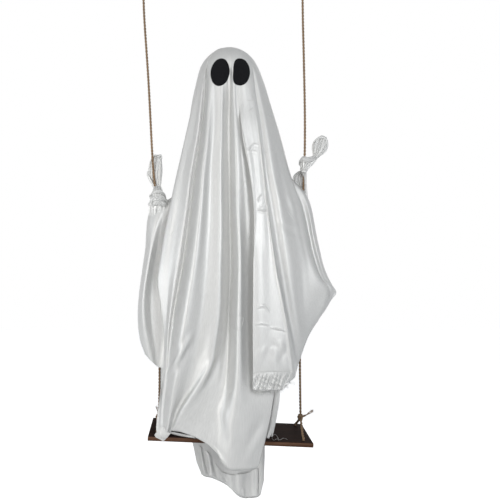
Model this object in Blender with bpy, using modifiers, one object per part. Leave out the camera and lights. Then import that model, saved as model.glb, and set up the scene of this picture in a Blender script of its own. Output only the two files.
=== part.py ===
"""Swinging ghost decoration: a satin sheet over a foam ball head, seated on a rope swing.

Metres, +Z up, the ghost faces -Y. The origin is midway between the tops of the two hanging
loops. Inside the ghost empty, the origin is the middle of the board's top face instead.
"""

import math

import bmesh
import bpy
import numpy as np
from mathutils import Matrix, Vector

# Board
SEAT_LENGTH = 0.305
SEAT_DEPTH = 0.130
SEAT_THICKNESS = 0.008
SEAT_EDGE_ROUND = 0.001
SEAT_TILT = math.radians(2.4)
HOLE_DIAMETER = 0.0065
HOLE_END_INSET = 0.0155
FRONT_HOLE_INSET = 0.018
REAR_HOLE_INSET = 0.012

# Ropes
ROPE_DIAMETER = 0.0045
SEAT_KNOT_HEIGHT = 0.025
SEAT_KNOT_WIDTH = 0.013
SEAT_KNOT_LENGTH = 0.014
HANGING_KNOT_HEIGHT = 0.852
HANGING_KNOT_WIDTH = 0.013
HANGING_KNOT_LENGTH = 0.015
LOOP_WIDTH = 0.030
LOOP_LENGTH = 0.0456
LOOP_SINK = 0.0006

# Head, post and screw
CROWN_HEIGHT = 0.7407
HEAD_DIAMETER = 0.100
POST_DIAMETER = 0.012
POST_SINK = 0.030
SCREW_DIAMETER = 0.004
SCREW_IN_POST = 0.020
SCREW_HEAD_DIAMETER = 0.008
SCREW_HEAD_HEIGHT = 0.0022
SCREW_HOLE_DIAMETER = 0.005

# Sheet and eyes
SHEET_THICKNESS = 0.0012
HOOD_SLACK = 0.0025
SIDE_FLARE = 0.06
CHEEK_FULLNESS = 1.02
HAND_ROLL = 0.0085
EYE_WIDTH = 0.035
EYE_HEIGHT = 0.051
EYE_SPACING = 0.0385
EYE_DROP = 0.0612
EYE_LEAN = math.radians(5)
EYE_THICKNESS = 0.0012

# Clearances between touching pieces
GAP = 0.0003
HOOD_GAP = 0.0009
EYE_GAP = 0.0008
SCREW_SEAT_GAP = 0.0005

HALF_LENGTH = SEAT_LENGTH / 2
HALF_DEPTH = SEAT_DEPTH / 2
ROPE_RADIUS = ROPE_DIAMETER / 2
ROPE_X = HALF_LENGTH - HOLE_END_INSET
FRONT_HOLE_Y = FRONT_HOLE_INSET - HALF_DEPTH
REAR_HOLE_Y = HALF_DEPTH - REAR_HOLE_INSET
HEAD_RADIUS = HEAD_DIAMETER / 2
HOOD_RADIUS = HEAD_RADIUS + HOOD_GAP + SHEET_THICKNESS
HEAD_CENTRE_HEIGHT = CROWN_HEIGHT - HOOD_RADIUS
LOOP_BOTTOM = HANGING_KNOT_HEIGHT + HANGING_KNOT_LENGTH / 2 + GAP - LOOP_SINK
LOOP_TOP = LOOP_BOTTOM + LOOP_LENGTH + ROPE_RADIUS

# Each rope's middle line, as (distance past the rope hole, height), from the seat knot up.
# The last point is where it enters the hanging knot.
LEFT_ROPE = (
    (-0.0005, SEAT_KNOT_HEIGHT + SEAT_KNOT_LENGTH / 2 + GAP),
    (-0.0015, 0.060),
    (-0.0020, 0.112),
    (-0.0005, 0.200),
    (0.0020, 0.320),
    (0.0055, 0.450),
    (0.0108, 0.515),
    (0.0196, 0.680),
    (0.0275, 0.800),
    (0.0295, HANGING_KNOT_HEIGHT - HANGING_KNOT_LENGTH / 2 - GAP),
)
RIGHT_ROPE = (
    (0.0020, SEAT_KNOT_HEIGHT + SEAT_KNOT_LENGTH / 2 + GAP),
    (0.0015, 0.060),
    (0.0008, 0.167),
    (0.0025, 0.300),
    (0.0055, 0.400),
    (0.0078, 0.476),
    (0.0100, 0.528),
    (0.0106, 0.602),
    (0.0085, 0.720),
    (0.0066, 0.800),
    (0.0060, HANGING_KNOT_HEIGHT - HANGING_KNOT_LENGTH / 2 - GAP),
)
ROPES = {"left": (-1, LEFT_ROPE), "right": (1, RIGHT_ROPE)}

# Each free rope end's middle line, from the seat knot outwards, as offsets from its middle.
TAILS = {
    "left": ((-0.0016, 0.0062, 0.0030), (-0.0030, 0.0130, 0.0080), (-0.0040, 0.0180, 0.0120)),
    "right": ((0.0060, -0.0026, 0.0026), (0.013, -0.005, 0.007), (0.020, -0.007, 0.012)),
}

# The rolled corner of each hand: across, forward and up from where the rope crosses the knot,
# and the roll's thickness as a share of HAND_ROLL. It wraps the rope once and ends in a tail.
HAND_KNOT_HEIGHTS = {"left": 0.446, "right": 0.498}
HAND_ROLLS = {
    "left": (
        (0.012, -0.004, -0.020, 1.0),
        (0.003, -0.011, -0.008, 1.0),
        (-0.009, -0.005, 0.002, 1.0),
        (-0.004, 0.009, 0.008, 0.9),
        (0.009, 0.004, 0.006, 0.9),
        (0.006, -0.009, 0.012, 0.8),
        (-0.004, 0.000, 0.022, 0.7),
        (0.001, 0.008, 0.038, 0.8),
        (-0.003, 0.008, 0.056, 1.0),
        (0.002, 0.007, 0.074, 0.8),
        (0.004, 0.006, 0.084, 0.3),
    ),
    "right": (
        (-0.016, -0.003, -0.026, 1.1),
        (-0.012, -0.006, -0.012, 1.0),
        (0.000, -0.011, -0.002, 1.0),
        (0.009, -0.002, 0.006, 0.9),
        (0.002, 0.009, 0.010, 0.9),
        (-0.008, 0.000, 0.014, 0.9),
        (0.002, -0.009, 0.018, 0.8),
        (0.014, -0.004, 0.027, 0.7),
        (0.027, -0.002, 0.042, 1.0),
        (0.036, -0.001, 0.058, 1.1),
        (0.034, 0.000, 0.074, 0.6),
        (0.030, 0.001, 0.080, 0.3),
    ),
}

# The sheet's fold lines, in turn round the ghost from its left edge over the front. Each runs
# down by jaw, chin, shoulder, hand, elbow, lap, knee, seat and hem. A point is its share of the
# board's half length across and half depth back, in hundredths, and of the crown's height, in
# thousandths.
FOLDS = {
    "left_edge": (
        (-47.2, 4, 858), (-52.3, 8, 786), (-61.3, 8, 641), (-98.1, 0, 585), (-107.5, 0, 467),
        (-115.2, 0, 346), (-116.2, 0, 288), (-113.3, -3, 236), (-107.2, -12, 203),
    ),
    "left_wing_front": (
        (-45.8, -14, 854), (-50.9, -12, 782), (-61.1, -8, 634), (-85.9, -26, 575), (-98.8, -42, 466),
        (-107.2, -48, 349), (-107.3, -46, 292), (-103.6, -40, 235), (-98.2, -34, 186),
    ),
    "left_lobe": (
        (-44.5, -26, 852), (-50.8, -24, 780), (-61, -14, 628), (-78.5, -24, 573), (-92.2, -27, 456),
        (-98.4, -30, 340), (-95.9, -30, 270), (-92.1, -30, 216), (-89.6, -30, 170),
    ),
    "left_tuck": (
        (-43.2, -34, 850), (-49.5, -32, 778), (-59.5, -28, 673), (-68.4, -22, 586), (-79.7, -26, 456),
        (-84.6, -28, 337), (-78.8, -34, 273), (-78.8, -38, 215), (-81.8, -40, 166),
    ),
    "left_body_edge": (
        (-45.4, -42, 851), (-53.6, -44, 776), (-65.1, -48, 673), (-73.9, -52, 589), (-86, -55, 456),
        (-89.3, -50, 380), (-78.1, -52, 285), (-78, -54, 219), (-81.5, -55, 164),
    ),
    "left_skirt": (
        (-39.4, -58, 847), (-45, -63, 773), (-54.1, -69, 671), (-60.8, -73, 587), (-71.8, -77, 451),
        (-77.6, -70, 302), (-81.8, -66, 158), (-86.3, -68, 77), (-90.1, -76, 11),
    ),
    "left_lip": (
        (-35.4, -68, 845), (-39.4, -76, 770), (-47.6, -84, 669), (-52.7, -89, 586), (-62, -95, 451),
        (-74.3, -84, 293), (-79.7, -76, 154), (-84.2, -75, 76), (-86.2, -84, 9),
    ),
    "left_valley": (
        (-32.5, -59, 847), (-36.2, -66, 772), (-44, -73, 670), (-48.8, -77, 587), (-57.4, -83, 451),
        (-70.8, -80, 291), (-77.2, -80, 148), (-81.3, -80, 72), (-81.8, -91, 9),
    ),
    "left_ridge": (
        (-28.1, -84, 841), (-31, -94, 767), (-37, -105, 666), (-40.2, -113, 584), (-47, -125, 451),
        (-59.5, -130, 293), (-67.4, -119, 152), (-72.4, -107, 74), (-77.9, -100, 9),
    ),
    "left_plain": (
        (-19.9, -79, 842), (-22.1, -87, 768), (-25.5, -93, 668), (-27.4, -99, 585), (-31, -108, 451),
        (-38.2, -113, 291), (-50.8, -107, 148), (-65.3, -98, 69), (-74.9, -90, 10),
    ),
    "middle_ridge": (
        (-10.9, -84, 841), (-11.6, -92, 767), (-12.5, -99, 667), (-13, -105, 585), (-13.1, -115, 451),
        (-16.2, -122, 292), (-33.5, -126, 151), (-57.3, -114, 73), (-70.9, -92, 20),
    ),
    "middle_plain": (
        (-6.2, -77, 843), (-6.9, -85, 769), (-7.3, -90, 668), (-7.7, -96, 585), (-7, -104, 451),
        (-10.1, -112, 291), (-20.4, -124, 151), (-32.3, -125, 75), (-41.8, -113, 8),
    ),
    "middle_valley": (
        (-1.1, -72, 844), (-1.3, -78, 770), (-1.3, -82, 669), (-1.4, -87, 586), (-0.8, -94, 451),
        (-3.4, -104, 290), (-7.3, -124, 151), (-13.4, -134, 77), (-20.4, -129, -17),
    ),
    "front_ridge": (
        (4.2, -91, 840), (5.2, -99, 766), (6.1, -108, 666), (7.1, -117, 584), (9.7, -131, 451),
        (8, -142, 294), (6.2, -149, 155), (2.7, -150, 81), (-2.6, -150, -59),
    ),
    "front_plain": (
        (8.1, -88.2, 840), (11.4, -92, 767), (14.9, -97, 667), (17.1, -102, 585), (19.6, -110, 451),
        (19.3, -120, 292), (19.6, -133, 152), (21.8, -140, 79), (17.4, -146, -60),
    ),
    "pleat_inner": (
        (10.2, -87.6, 841), (18.9, -84, 769), (27.3, -87, 668), (33.2, -91, 586), (38.9, -98, 451),
        (44.7, -104, 290), (51.6, -110, 148), (46.6, -114, 73), (30.8, -134, -61),
    ),
    "pleat_return": (
        (11.6, -88.6, 840), (16.7, -95, 767), (24.9, -103, 666), (30, -111, 584), (32.6, -120, 451),
        (34, -129, 300), (35.1, -130, 213), (35.7, -131, 184), (35.6, -132, 167),
    ),
    "pleat_edge": (
        (13.2, -89.6, 840), (13.1, -106, 765), (21.6, -118, 665), (26.2, -128, 583), (26.1, -142, 451),
        (24.5, -151, 302), (24.5, -152, 225), (24.5, -152, 180), (24.5, -152, 137),
    ),
    "flap": (
        (18.8, -88.6, 840), (23.1, -102, 766), (30.5, -114, 665), (34.2, -123, 583), (37.1, -138, 451),
        (42.6, -146, 302), (44.9, -148, 225), (46.6, -149, 177), (43.6, -149, 132),
    ),
    "flap_side": (
        (29.8, -78, 843), (34.4, -92, 767), (39.2, -105, 666), (43.5, -115, 584), (51.2, -127, 451),
        (64.6, -131, 300), (70.7, -129, 234), (74.4, -126, 195), (74.1, -122, 155),
    ),
    "right_plain": (
        (33.3, -67, 845), (38.3, -75, 770), (43.7, -82, 669), (49.2, -86, 586), (58.6, -91, 451),
        (71.6, -86, 294), (76.8, -82, 233), (79.5, -78, 195), (80.3, -74, 167),
    ),
    "right_bright": (
        (37.7, -70, 844), (43.4, -80, 770), (50.3, -88, 668), (57.3, -93, 585), (67.4, -96, 451),
        (77.7, -86, 306), (82.4, -80, 255), (85.2, -74, 227), (86.1, -70, 204),
    ),
    "right_panel": (
        (45.3, -52, 848), (53.7, -58, 774), (63.8, -65, 671), (72.5, -72, 587), (85, -77, 456),
        (91, -70, 330), (94.1, -62, 291), (95.8, -56, 268), (96.9, -50, 249),
    ),
    "right_body_edge": (
        (51.6, -26, 852), (62.4, -30, 779), (75.3, -38, 674), (85.9, -52, 589), (98.3, -68, 456),
        (110.4, -60, 400), (122.6, -44, 375), (121.1, -42, 341), (113.4, -38, 299),
    ),
    "right_tuck": (
        (49.1, -12, 852), (58, -12, 782), (69.4, -12, 678), (90.6, -22, 591), (104.4, -38, 461),
        (114.4, -38, 402), (122.4, -28, 381), (125.7, -26, 355), (122.6, -26, 324),
    ),
    "right_wing_front": (
        (47.2, 0, 855), (56.2, 2, 784), (67.7, 2, 687), (94.3, -18, 615), (106.7, -40, 492),
        (116.7, -40, 415), (125.7, -26, 383), (131.8, -16, 365), (129.8, -16, 344),
    ),
    "right_edge": (
        (47.7, 12, 858), (56.8, 14, 787), (68.4, 14, 689), (98.5, 0, 616), (112.6, -10, 493),
        (121.7, -12, 417), (129.7, -12, 382), (135.5, -12, 363), (135.2, -12, 356),
    ),
    "right_wing_rear": (
        (50, 22, 849), (60, 26, 773), (73, 25, 672), (89, 18, 618), (101, 31, 527),
        (111, 40, 437), (119, 40, 376), (121, 37, 352), (122, 34, 336),
    ),
    "right_rear_panel": (
        (45, 42, 849), (54, 51, 773), (63, 57, 672), (73, 65, 593), (85, 77, 450),
        (93, 83, 343), (94, 83, 276), (94, 83, 242), (92, 83, 215),
    ),
    "right_rear_valley": (
        (38, 58, 849), (45, 71, 773), (51, 80, 672), (56, 89, 593), (66, 102, 437),
        (72, 115, 269), (72, 125, 165), (70, 128, 115), (67, 130, 78),
    ),
    "right_rear_ridge": (
        (29, 77, 849), (33, 92, 773), (37, 105, 672), (41, 117, 593), (47, 135, 445),
        (52, 148, 276), (56, 149, 128), (56, 146, 54), (54, 142, 5),
    ),
    "rear_side": (
        (22, 83, 849), (25, 98, 773), (28, 111, 672), (31, 123, 593), (37, 135, 445),
        (42, 142, 276), (45, 138, 114), (46, 132, -16), (46, 129, -215),
    ),
    "rear_right_ridge": (
        (14, 92, 849), (17, 109, 773), (20, 123, 672), (22, 135, 593), (26, 151, 445),
        (29, 157, 276), (30, 152, 114), (31, 143, -16), (33, 138, -228),
    ),
    "rear_valley": (
        (5, 83, 849), (7, 94, 773), (7, 103, 672), (9, 112, 593), (10, 125, 445),
        (12, 134, 276), (14, 135, 114), (16, 129, -16), (18, 132, -223),
    ),
    "rear_middle_ridge": (
        (-7, 92, 849), (-7, 108, 773), (-8, 122, 672), (-9, 134, 593), (-9, 151, 445),
        (-9, 158, 276), (-7, 154, 114), (-3, 143, -16), (0, 135, -191),
    ),
    "rear_left_valley": (
        (-17, 83, 849), (-20, 94, 773), (-22, 102, 672), (-25, 109, 593), (-28, 122, 445),
        (-30, 131, 276), (-28, 134, 114), (-22, 129, -16), (-20, 129, -169),
    ),
    "rear_left_ridge": (
        (-27, 74, 849), (-31, 89, 773), (-36, 102, 672), (-41, 114, 593), (-47, 132, 445),
        (-51, 143, 276), (-49, 143, 114), (-38, 132, -16), (-35, 126, -157),
    ),
    "left_rear_valley": (
        (-33, 62, 849), (-39, 71, 773), (-45, 78, 672), (-51, 86, 593), (-60, 95, 445),
        (-67, 105, 276), (-71, 111, 128), (-65, 118, 52), (-60, 121, 14),
    ),
    "left_rear_skirt": (
        (-39, 48, 849), (-45, 55, 773), (-53, 62, 672), (-62, 66, 593), (-71, 71, 445),
        (-79, 74, 285), (-86, 77, 148), (-89, 78, 60), (-88, 77, 16),
    ),
    "left_rear_inner": (
        (-42, 37, 849), (-49, 43, 773), (-60, 40, 651), (-77, 32, 575), (-84, 46, 470),
        (-92, 49, 356), (-92, 46, 262), (-88, 42, 212), (-84, 38, 172),
    ),
    "left_wing_rear": (
        (-45, 20, 849), (-52, 23, 773), (-67, 22, 637), (-89, 14, 574), (-96, 31, 500),
        (-105, 40, 395), (-109, 40, 305), (-104, 34, 222), (-93, 25, 177),
    ),
}
HOOD_ANGLES = (0, 20, 38, 56, 75)
COLUMNS_PER_FOLD = 2
ROWS_PER_STATION = 2

COLOURS = {
    "wood": ((0.060, 0.036, 0.028), 0.55, 0.0),
    "dowel": ((0.62, 0.45, 0.28), 0.6, 0.0),
    "jute": ((0.36, 0.24, 0.14), 0.9, 0.0),
    "satin": ((0.80, 0.80, 0.78), 0.35, 0.0),
    "felt": ((0.006, 0.006, 0.007), 0.95, 0.0),
    "foam": ((0.82, 0.82, 0.80), 0.8, 0.0),
    "zinc": ((0.62, 0.62, 0.60), 0.35, 1.0),
}


def clear_scene():
    for obj in list(bpy.data.objects):
        bpy.data.objects.remove(obj, do_unlink=True)


def new_collection(name):
    group = bpy.data.collections.new(name)
    bpy.context.scene.collection.children.link(group)
    return group


clear_scene()
PARTS = new_collection("swinging_ghost")
CUTTERS = new_collection("cutters")

GHOST = bpy.data.objects.new("ghost", None)
PARTS.objects.link(GHOST)
GHOST.location = (
    (LEFT_ROPE[-1][0] - RIGHT_ROPE[-1][0]) / 2,
    0,
    -LOOP_TOP,
)

BOARD = bpy.data.objects.new("board", None)
PARTS.objects.link(BOARD)
BOARD.parent = GHOST
BOARD.rotation_euler = (0, SEAT_TILT, 0)


def material(name):
    colour, roughness, metallic = COLOURS[name]
    made = bpy.data.materials.get(name)
    if made is None:
        made = bpy.data.materials.new(name)
        made.use_nodes = True
        shader = made.node_tree.nodes["Principled BSDF"]
        shader.inputs["Base Color"].default_value = (*colour, 1)
        shader.inputs["Roughness"].default_value = roughness
        shader.inputs["Metallic"].default_value = metallic
    return made


def add_part(name, data, finish, parent=GHOST):
    obj = bpy.data.objects.new(name, data)
    data.materials.append(material(finish))
    PARTS.objects.link(obj)
    obj.parent = parent
    return obj


def add_cutter(name, data, parent=GHOST):
    obj = bpy.data.objects.new(name, data)
    CUTTERS.objects.link(obj)
    obj.parent = parent
    obj.hide_render = True
    obj.display_type = "WIRE"
    return obj


def mesh_from(build):
    """The mesh that the function builds in an empty bmesh."""
    mesh = bpy.data.meshes.new("made")
    bm = bmesh.new()
    build(bm)
    bm.to_mesh(mesh)
    bm.free()
    return mesh


def rod_mesh(radius, bottom, top, sides=24):
    """An upright round rod about x = y = 0, from one height to another."""

    def build(bm):
        bmesh.ops.create_cone(
            bm, cap_ends=True, segments=sides, radius1=radius, radius2=radius, depth=top - bottom
        )
        bmesh.ops.translate(bm, verts=bm.verts, vec=(0, 0, (top + bottom) / 2))

    return mesh_from(build)


def ball_mesh(size, rings=8, sides=12):
    """A ball stretched to the given width, depth and height."""

    def build(bm):
        bmesh.ops.create_uvsphere(bm, u_segments=sides, v_segments=rings, radius=0.5)
        bmesh.ops.scale(bm, verts=bm.verts, vec=size)

    return mesh_from(build)


def cut(obj, cutter, operation="DIFFERENCE"):
    modifier = obj.modifiers.new(cutter.name, "BOOLEAN")
    modifier.operation = operation
    modifier.object = cutter


def curve_through(points, per_span):
    """Points on a smooth curve through the given ones, as rows, with per_span steps between two."""
    knots = np.array(points, float)
    ends = (2 * knots[:1] - knots[1:2], 2 * knots[-1:] - knots[-2:-1])
    padded = np.concatenate([ends[0], knots, ends[1]])
    found = []
    for span in range(len(knots) - 1):
        a, b, c, d = padded[span : span + 4]
        for step in range(per_span):
            t = step / per_span
            found.append(spline(a, b, c, d, t))
    found.append(knots[-1])
    return np.array(found)


def spline(a, b, c, d, t):
    """The point at t, from 0 to 1, on the curve from b to c that a and d lead in and out of."""
    pull = 2 * b + (c - a) * t
    bend = (2 * a - 5 * b + 4 * c - d) * t**2
    twist = (3 * b - a - 3 * c + d) * t**3
    return (pull + bend + twist) / 2


def tube_curve(name, points, radius, thickness=None, sides=2):
    """A curve with filled caps through the points, thinner or thicker by the list of shares."""
    curve = bpy.data.curves.new(name, "CURVE")
    curve.dimensions = "3D"
    curve.bevel_depth = radius
    curve.bevel_resolution = sides
    curve.use_fill_caps = True
    line = curve.splines.new("POLY")
    line.points.add(len(points) - 1)
    for point, place in zip(line.points, points):
        point.co = (*place, 1)
    if thickness is not None:
        for point, share in zip(line.points, thickness):
            point.radius = share
    return curve


def tube_mesh(points, radius, thickness=None, sides=2):
    """The same tube as a closed mesh, for cutting and joining."""
    curve = tube_curve("guide", points, radius, thickness, sides)
    obj = bpy.data.objects.new("guide", curve)
    bpy.context.scene.collection.objects.link(obj)
    bpy.context.view_layer.update()
    evaluated = obj.evaluated_get(bpy.context.evaluated_depsgraph_get())
    mesh = bpy.data.meshes.new_from_object(evaluated)
    bpy.data.objects.remove(obj)
    bm = bmesh.new()
    bm.from_mesh(mesh)
    bmesh.ops.remove_doubles(bm, verts=bm.verts, dist=1e-6)
    bm.to_mesh(mesh)
    bm.free()
    return mesh


def board_point(x, y, z):
    """A point of the tilted board's own space, in the ghost's space."""
    return Matrix.Rotation(SEAT_TILT, 3, "Y") @ Vector((x, y, z))


def rope_points(side):
    direction, offsets = ROPES[side]
    return [(direction * (ROPE_X + out), 0, up) for out, up in offsets]


def rope_at(side, height):
    """The rope's middle at a height, on the straight line between the two points beside it."""
    route = rope_points(side)
    heights = [place[2] for place in route]
    across = np.interp(height, heights, [place[0] for place in route])
    return Vector((float(across), 0, height))


def make_board():
    def build(bm):
        bmesh.ops.create_cube(bm, size=1)
        bmesh.ops.scale(bm, verts=bm.verts, vec=(SEAT_LENGTH, SEAT_DEPTH, SEAT_THICKNESS))
        bmesh.ops.translate(bm, verts=bm.verts, vec=(0, 0, -SEAT_THICKNESS / 2))

    board = add_part("seat_board", mesh_from(build), "wood", BOARD)
    rounding = board.modifiers.new("edges", "BEVEL")
    rounding.width = SEAT_EDGE_ROUND
    rounding.segments = 2
    for direction in (-1, 1):
        for y in (FRONT_HOLE_Y, REAR_HOLE_Y):
            drill = rod_mesh(HOLE_DIAMETER / 2, -2 * SEAT_THICKNESS, SEAT_THICKNESS)
            hole = add_cutter("rope_hole", drill, BOARD)
            hole.location = (direction * ROPE_X, y, 0)
            cut(board, hole)
    drill = rod_mesh(SCREW_HOLE_DIAMETER / 2, -2 * SEAT_THICKNESS, SEAT_THICKNESS)
    cut(board, add_cutter("screw_hole", drill, BOARD))


def make_head():
    post_bottom = GAP + POST_DIAMETER / 2 * math.sin(SEAT_TILT)
    post_top = HEAD_CENTRE_HEIGHT - HEAD_RADIUS + POST_SINK
    post = add_part("support_post", rod_mesh(POST_DIAMETER / 2, post_bottom, post_top), "dowel")
    screw_top = post_bottom + SCREW_IN_POST
    pilot = rod_mesh(SCREW_DIAMETER / 2 + GAP, post_bottom - SEAT_THICKNESS, screw_top + GAP)
    cut(post, add_cutter("pilot_hole", pilot))

    ball_size = (HEAD_DIAMETER, HEAD_DIAMETER, HEAD_DIAMETER)
    ball = add_part("head_ball", ball_mesh(ball_size, rings=14, sides=20), "foam")
    ball.location = (0, 0, HEAD_CENTRE_HEIGHT)
    socket = rod_mesh(POST_DIAMETER / 2 + GAP, post_top - HEAD_RADIUS, post_top + GAP)
    cut(ball, add_cutter("post_socket", socket))

    head_top = -SEAT_THICKNESS - SCREW_SEAT_GAP

    def build(bm):
        profile = (
            (0, screw_top),
            (SCREW_DIAMETER / 4, screw_top),
            (SCREW_DIAMETER / 2, screw_top - SCREW_DIAMETER),
            (SCREW_DIAMETER / 2, head_top),
            (SCREW_HEAD_DIAMETER / 2, head_top),
            (SCREW_HEAD_DIAMETER / 2, head_top - SCREW_HEAD_HEIGHT / 2),
            (SCREW_HEAD_DIAMETER / 3, head_top - SCREW_HEAD_HEIGHT),
            (0, head_top - SCREW_HEAD_HEIGHT),
        )
        corners = [bm.verts.new((x, 0, z)) for x, z in profile]
        for first, second in zip(corners, corners[1:]):
            bm.edges.new((first, second))

    screw = add_part("post_screw", mesh_from(build), "zinc")
    turn = screw.modifiers.new("turn", "SCREW")
    turn.steps = turn.render_steps = 20
    turn.use_merge_vertices = True
    turn.merge_threshold = 1e-5


def make_rope(side):
    route = rope_points(side)
    add_part(f"{side}_rope", tube_curve("rope", curve_through(route, 5), ROPE_RADIUS), "jute")

    knot_place = rope_at(side, route[0][2])
    knot_place.z = SEAT_KNOT_HEIGHT
    knot_size = (SEAT_KNOT_WIDTH, SEAT_KNOT_WIDTH, SEAT_KNOT_LENGTH)
    knot = add_part(f"{side}_seat_knot", ball_mesh(knot_size), "jute")
    knot.location = knot_place

    tail = [knot_place + Vector(offset) for offset in TAILS[side]]
    tail_line = tube_curve("tail", curve_through(tail, 3), ROPE_RADIUS * 0.8)
    add_part(f"{side}_rope_tail", tail_line, "jute")

    sling_line = tube_curve("sling", curve_through(sling_points(side, knot_place), 3), ROPE_RADIUS)
    add_part(f"{side}_sling", sling_line, "jute")

    top = Vector(route[-1])
    top.z = HANGING_KNOT_HEIGHT
    hanging_size = (HANGING_KNOT_WIDTH, HANGING_KNOT_WIDTH, HANGING_KNOT_LENGTH)
    hanging_knot = add_part(f"{side}_hanging_knot", ball_mesh(hanging_size), "jute")
    hanging_knot.location = top
    loop_line = tube_curve("loop", loop_points(top.x), ROPE_RADIUS)
    add_part(f"{side}_hanging_loop", loop_line, "jute")


def sling_points(side, knot_place):
    """From the knot through the front hole, under the board and up through the rear hole."""
    direction, _ = ROPES[side]
    x = direction * ROPE_X
    turn = ROPE_DIAMETER
    under = -SEAT_THICKNESS - ROPE_RADIUS - GAP
    start = SEAT_KNOT_WIDTH / 2 + ROPE_RADIUS
    low_start = SEAT_KNOT_HEIGHT - SEAT_KNOT_LENGTH / 2

    def leg(y, inward):
        above = [
            (x, y + inward * turn * 1.6, turn * 1.1),
            (x, y + inward * turn * 0.45, turn * 0.75),
            (x, y, 0),
            (x, y, -SEAT_THICKNESS * 0.75),
            (x, y + inward * turn * 0.25, under + turn * 0.22),
            (x, y + inward * turn * 0.9, under),
        ]
        return [board_point(*place) for place in above]

    front = [knot_place + Vector((0, -start, low_start - SEAT_KNOT_HEIGHT + ROPE_RADIUS))]
    front += leg(FRONT_HOLE_Y, 1)
    rear = [knot_place + Vector((0, start, low_start - SEAT_KNOT_HEIGHT + ROPE_RADIUS))]
    rear += leg(REAR_HOLE_Y, -1)
    return front + rear[::-1]


def loop_points(x, steps=16):
    """An open ring over the hanging knot, with both ends on the knot."""
    opening = math.radians(6)
    found = []
    for step in range(steps + 1):
        angle = -math.pi / 2 + opening + (2 * math.pi - 2 * opening) * step / steps
        across = LOOP_WIDTH / 2 * math.cos(angle)
        up = LOOP_BOTTOM + ROPE_RADIUS + LOOP_LENGTH / 2 * (1 + math.sin(angle))
        found.append((x + across, 0, up))
    return found


def fold_line(stations):
    """A fold line's points from the crown to the hem, in the ghost's space."""
    jaw_across, jaw_back, _ = stations[0]
    bearing = math.atan2(jaw_back * HALF_DEPTH, jaw_across * HALF_LENGTH)
    line = []
    for degrees in HOOD_ANGLES:
        angle = math.radians(degrees)
        lowness = degrees / HOOD_ANGLES[-1]
        flare = 1 + SIDE_FLARE * (math.cos(bearing) * lowness) ** 2
        reach = (HOOD_RADIUS + HOOD_SLACK * lowness) * math.sin(angle) * flare
        height = CROWN_HEIGHT - HOOD_RADIUS * (1 - math.cos(angle))
        line.append((reach * math.cos(bearing), reach * math.sin(bearing), height))
    below = [
        (across / 100 * HALF_LENGTH, back / 100 * HALF_DEPTH, up / 1000 * CROWN_HEIGHT)
        for across, back, up in stations
    ]
    cheek = (Vector(line[-1]) + Vector(below[0])) / 2
    line.append((cheek.x * CHEEK_FULLNESS, cheek.y * CHEEK_FULLNESS, cheek.z))
    return line + below


def sheet_grid():
    """The sheet's outer face as points by row from the crown down, and by column round it."""
    lines = [curve_through(fold_line(stations), ROWS_PER_STATION) for stations in FOLDS.values()]
    count = len(lines)
    columns = []
    for index in range(count):
        a, b, c, d = (lines[(index + near) % count] for near in (-1, 0, 1, 2))
        for step in range(COLUMNS_PER_FOLD):
            column = spline(a, b, c, d, step / COLUMNS_PER_FOLD)
            column[:, 2] = column[:, 2].clip(np.minimum(b, c)[:, 2], np.maximum(b, c)[:, 2])
            columns.append(column)
    return np.array(columns).transpose(1, 0, 2)


def sheet_mesh():
    grid = sheet_grid()

    def build(bm):
        crown = bm.verts.new(grid[0][0])
        rows = [[bm.verts.new(place) for place in row] for row in grid[1:]]
        count = len(rows[0])
        for index in range(count):
            after = (index + 1) % count
            bm.faces.new((crown, rows[0][index], rows[0][after]))
            for above, below in zip(rows, rows[1:]):
                bm.faces.new((above[index], below[index], below[after], above[after]))

    return mesh_from(build)


def make_sheet():
    sheet = add_part("ghost_sheet", sheet_mesh(), "satin")
    wall = sheet.modifiers.new("thickness", "SOLIDIFY")
    wall.thickness = SHEET_THICKNESS
    wall.offset = -1
    for side, roll in HAND_ROLLS.items():
        middle = rope_at(side, HAND_KNOT_HEIGHTS[side])
        places = [middle + Vector(entry[:3]) for entry in roll]
        shares = [entry[3] for entry in roll]
        smooth = curve_through([(*place, share) for place, share in zip(places, shares)], 4)
        rolled = tube_mesh(smooth[:, :3], HAND_ROLL, smooth[:, 3], sides=4)
        hand = add_cutter(f"{side}_hand", rolled)
        merging = hand.modifiers.new("merge", "REMESH")
        merging.mode = "VOXEL"
        merging.voxel_size = HAND_ROLL / 2
        cut(sheet, hand, "UNION")
    for side in ROPES:
        channel = tube_mesh(curve_through(rope_points(side), 5), ROPE_RADIUS + GAP)
        cut(sheet, add_cutter(f"{side}_rope_way", channel))
    return sheet


def oval_mesh(rings=6, sides=28):
    """A flat oval that faces -Y, with rings of faces, so that it can be bent."""

    def build(bm):
        middle = bm.verts.new((0, 0, 0))
        earlier = None
        for ring in range(1, rings + 1):
            share = ring / rings
            current = []
            for side in range(sides):
                angle = 2 * math.pi * side / sides
                x = EYE_WIDTH / 2 * share * math.cos(angle)
                z = EYE_HEIGHT / 2 * share * math.sin(angle)
                current.append(bm.verts.new((x, 0, z)))
            for side in range(sides):
                after = (side + 1) % sides
                if earlier is None:
                    bm.faces.new((middle, current[side], current[after]))
                else:
                    bm.faces.new((earlier[side], current[side], current[after], earlier[after]))
            earlier = current

    return mesh_from(build)


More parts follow.
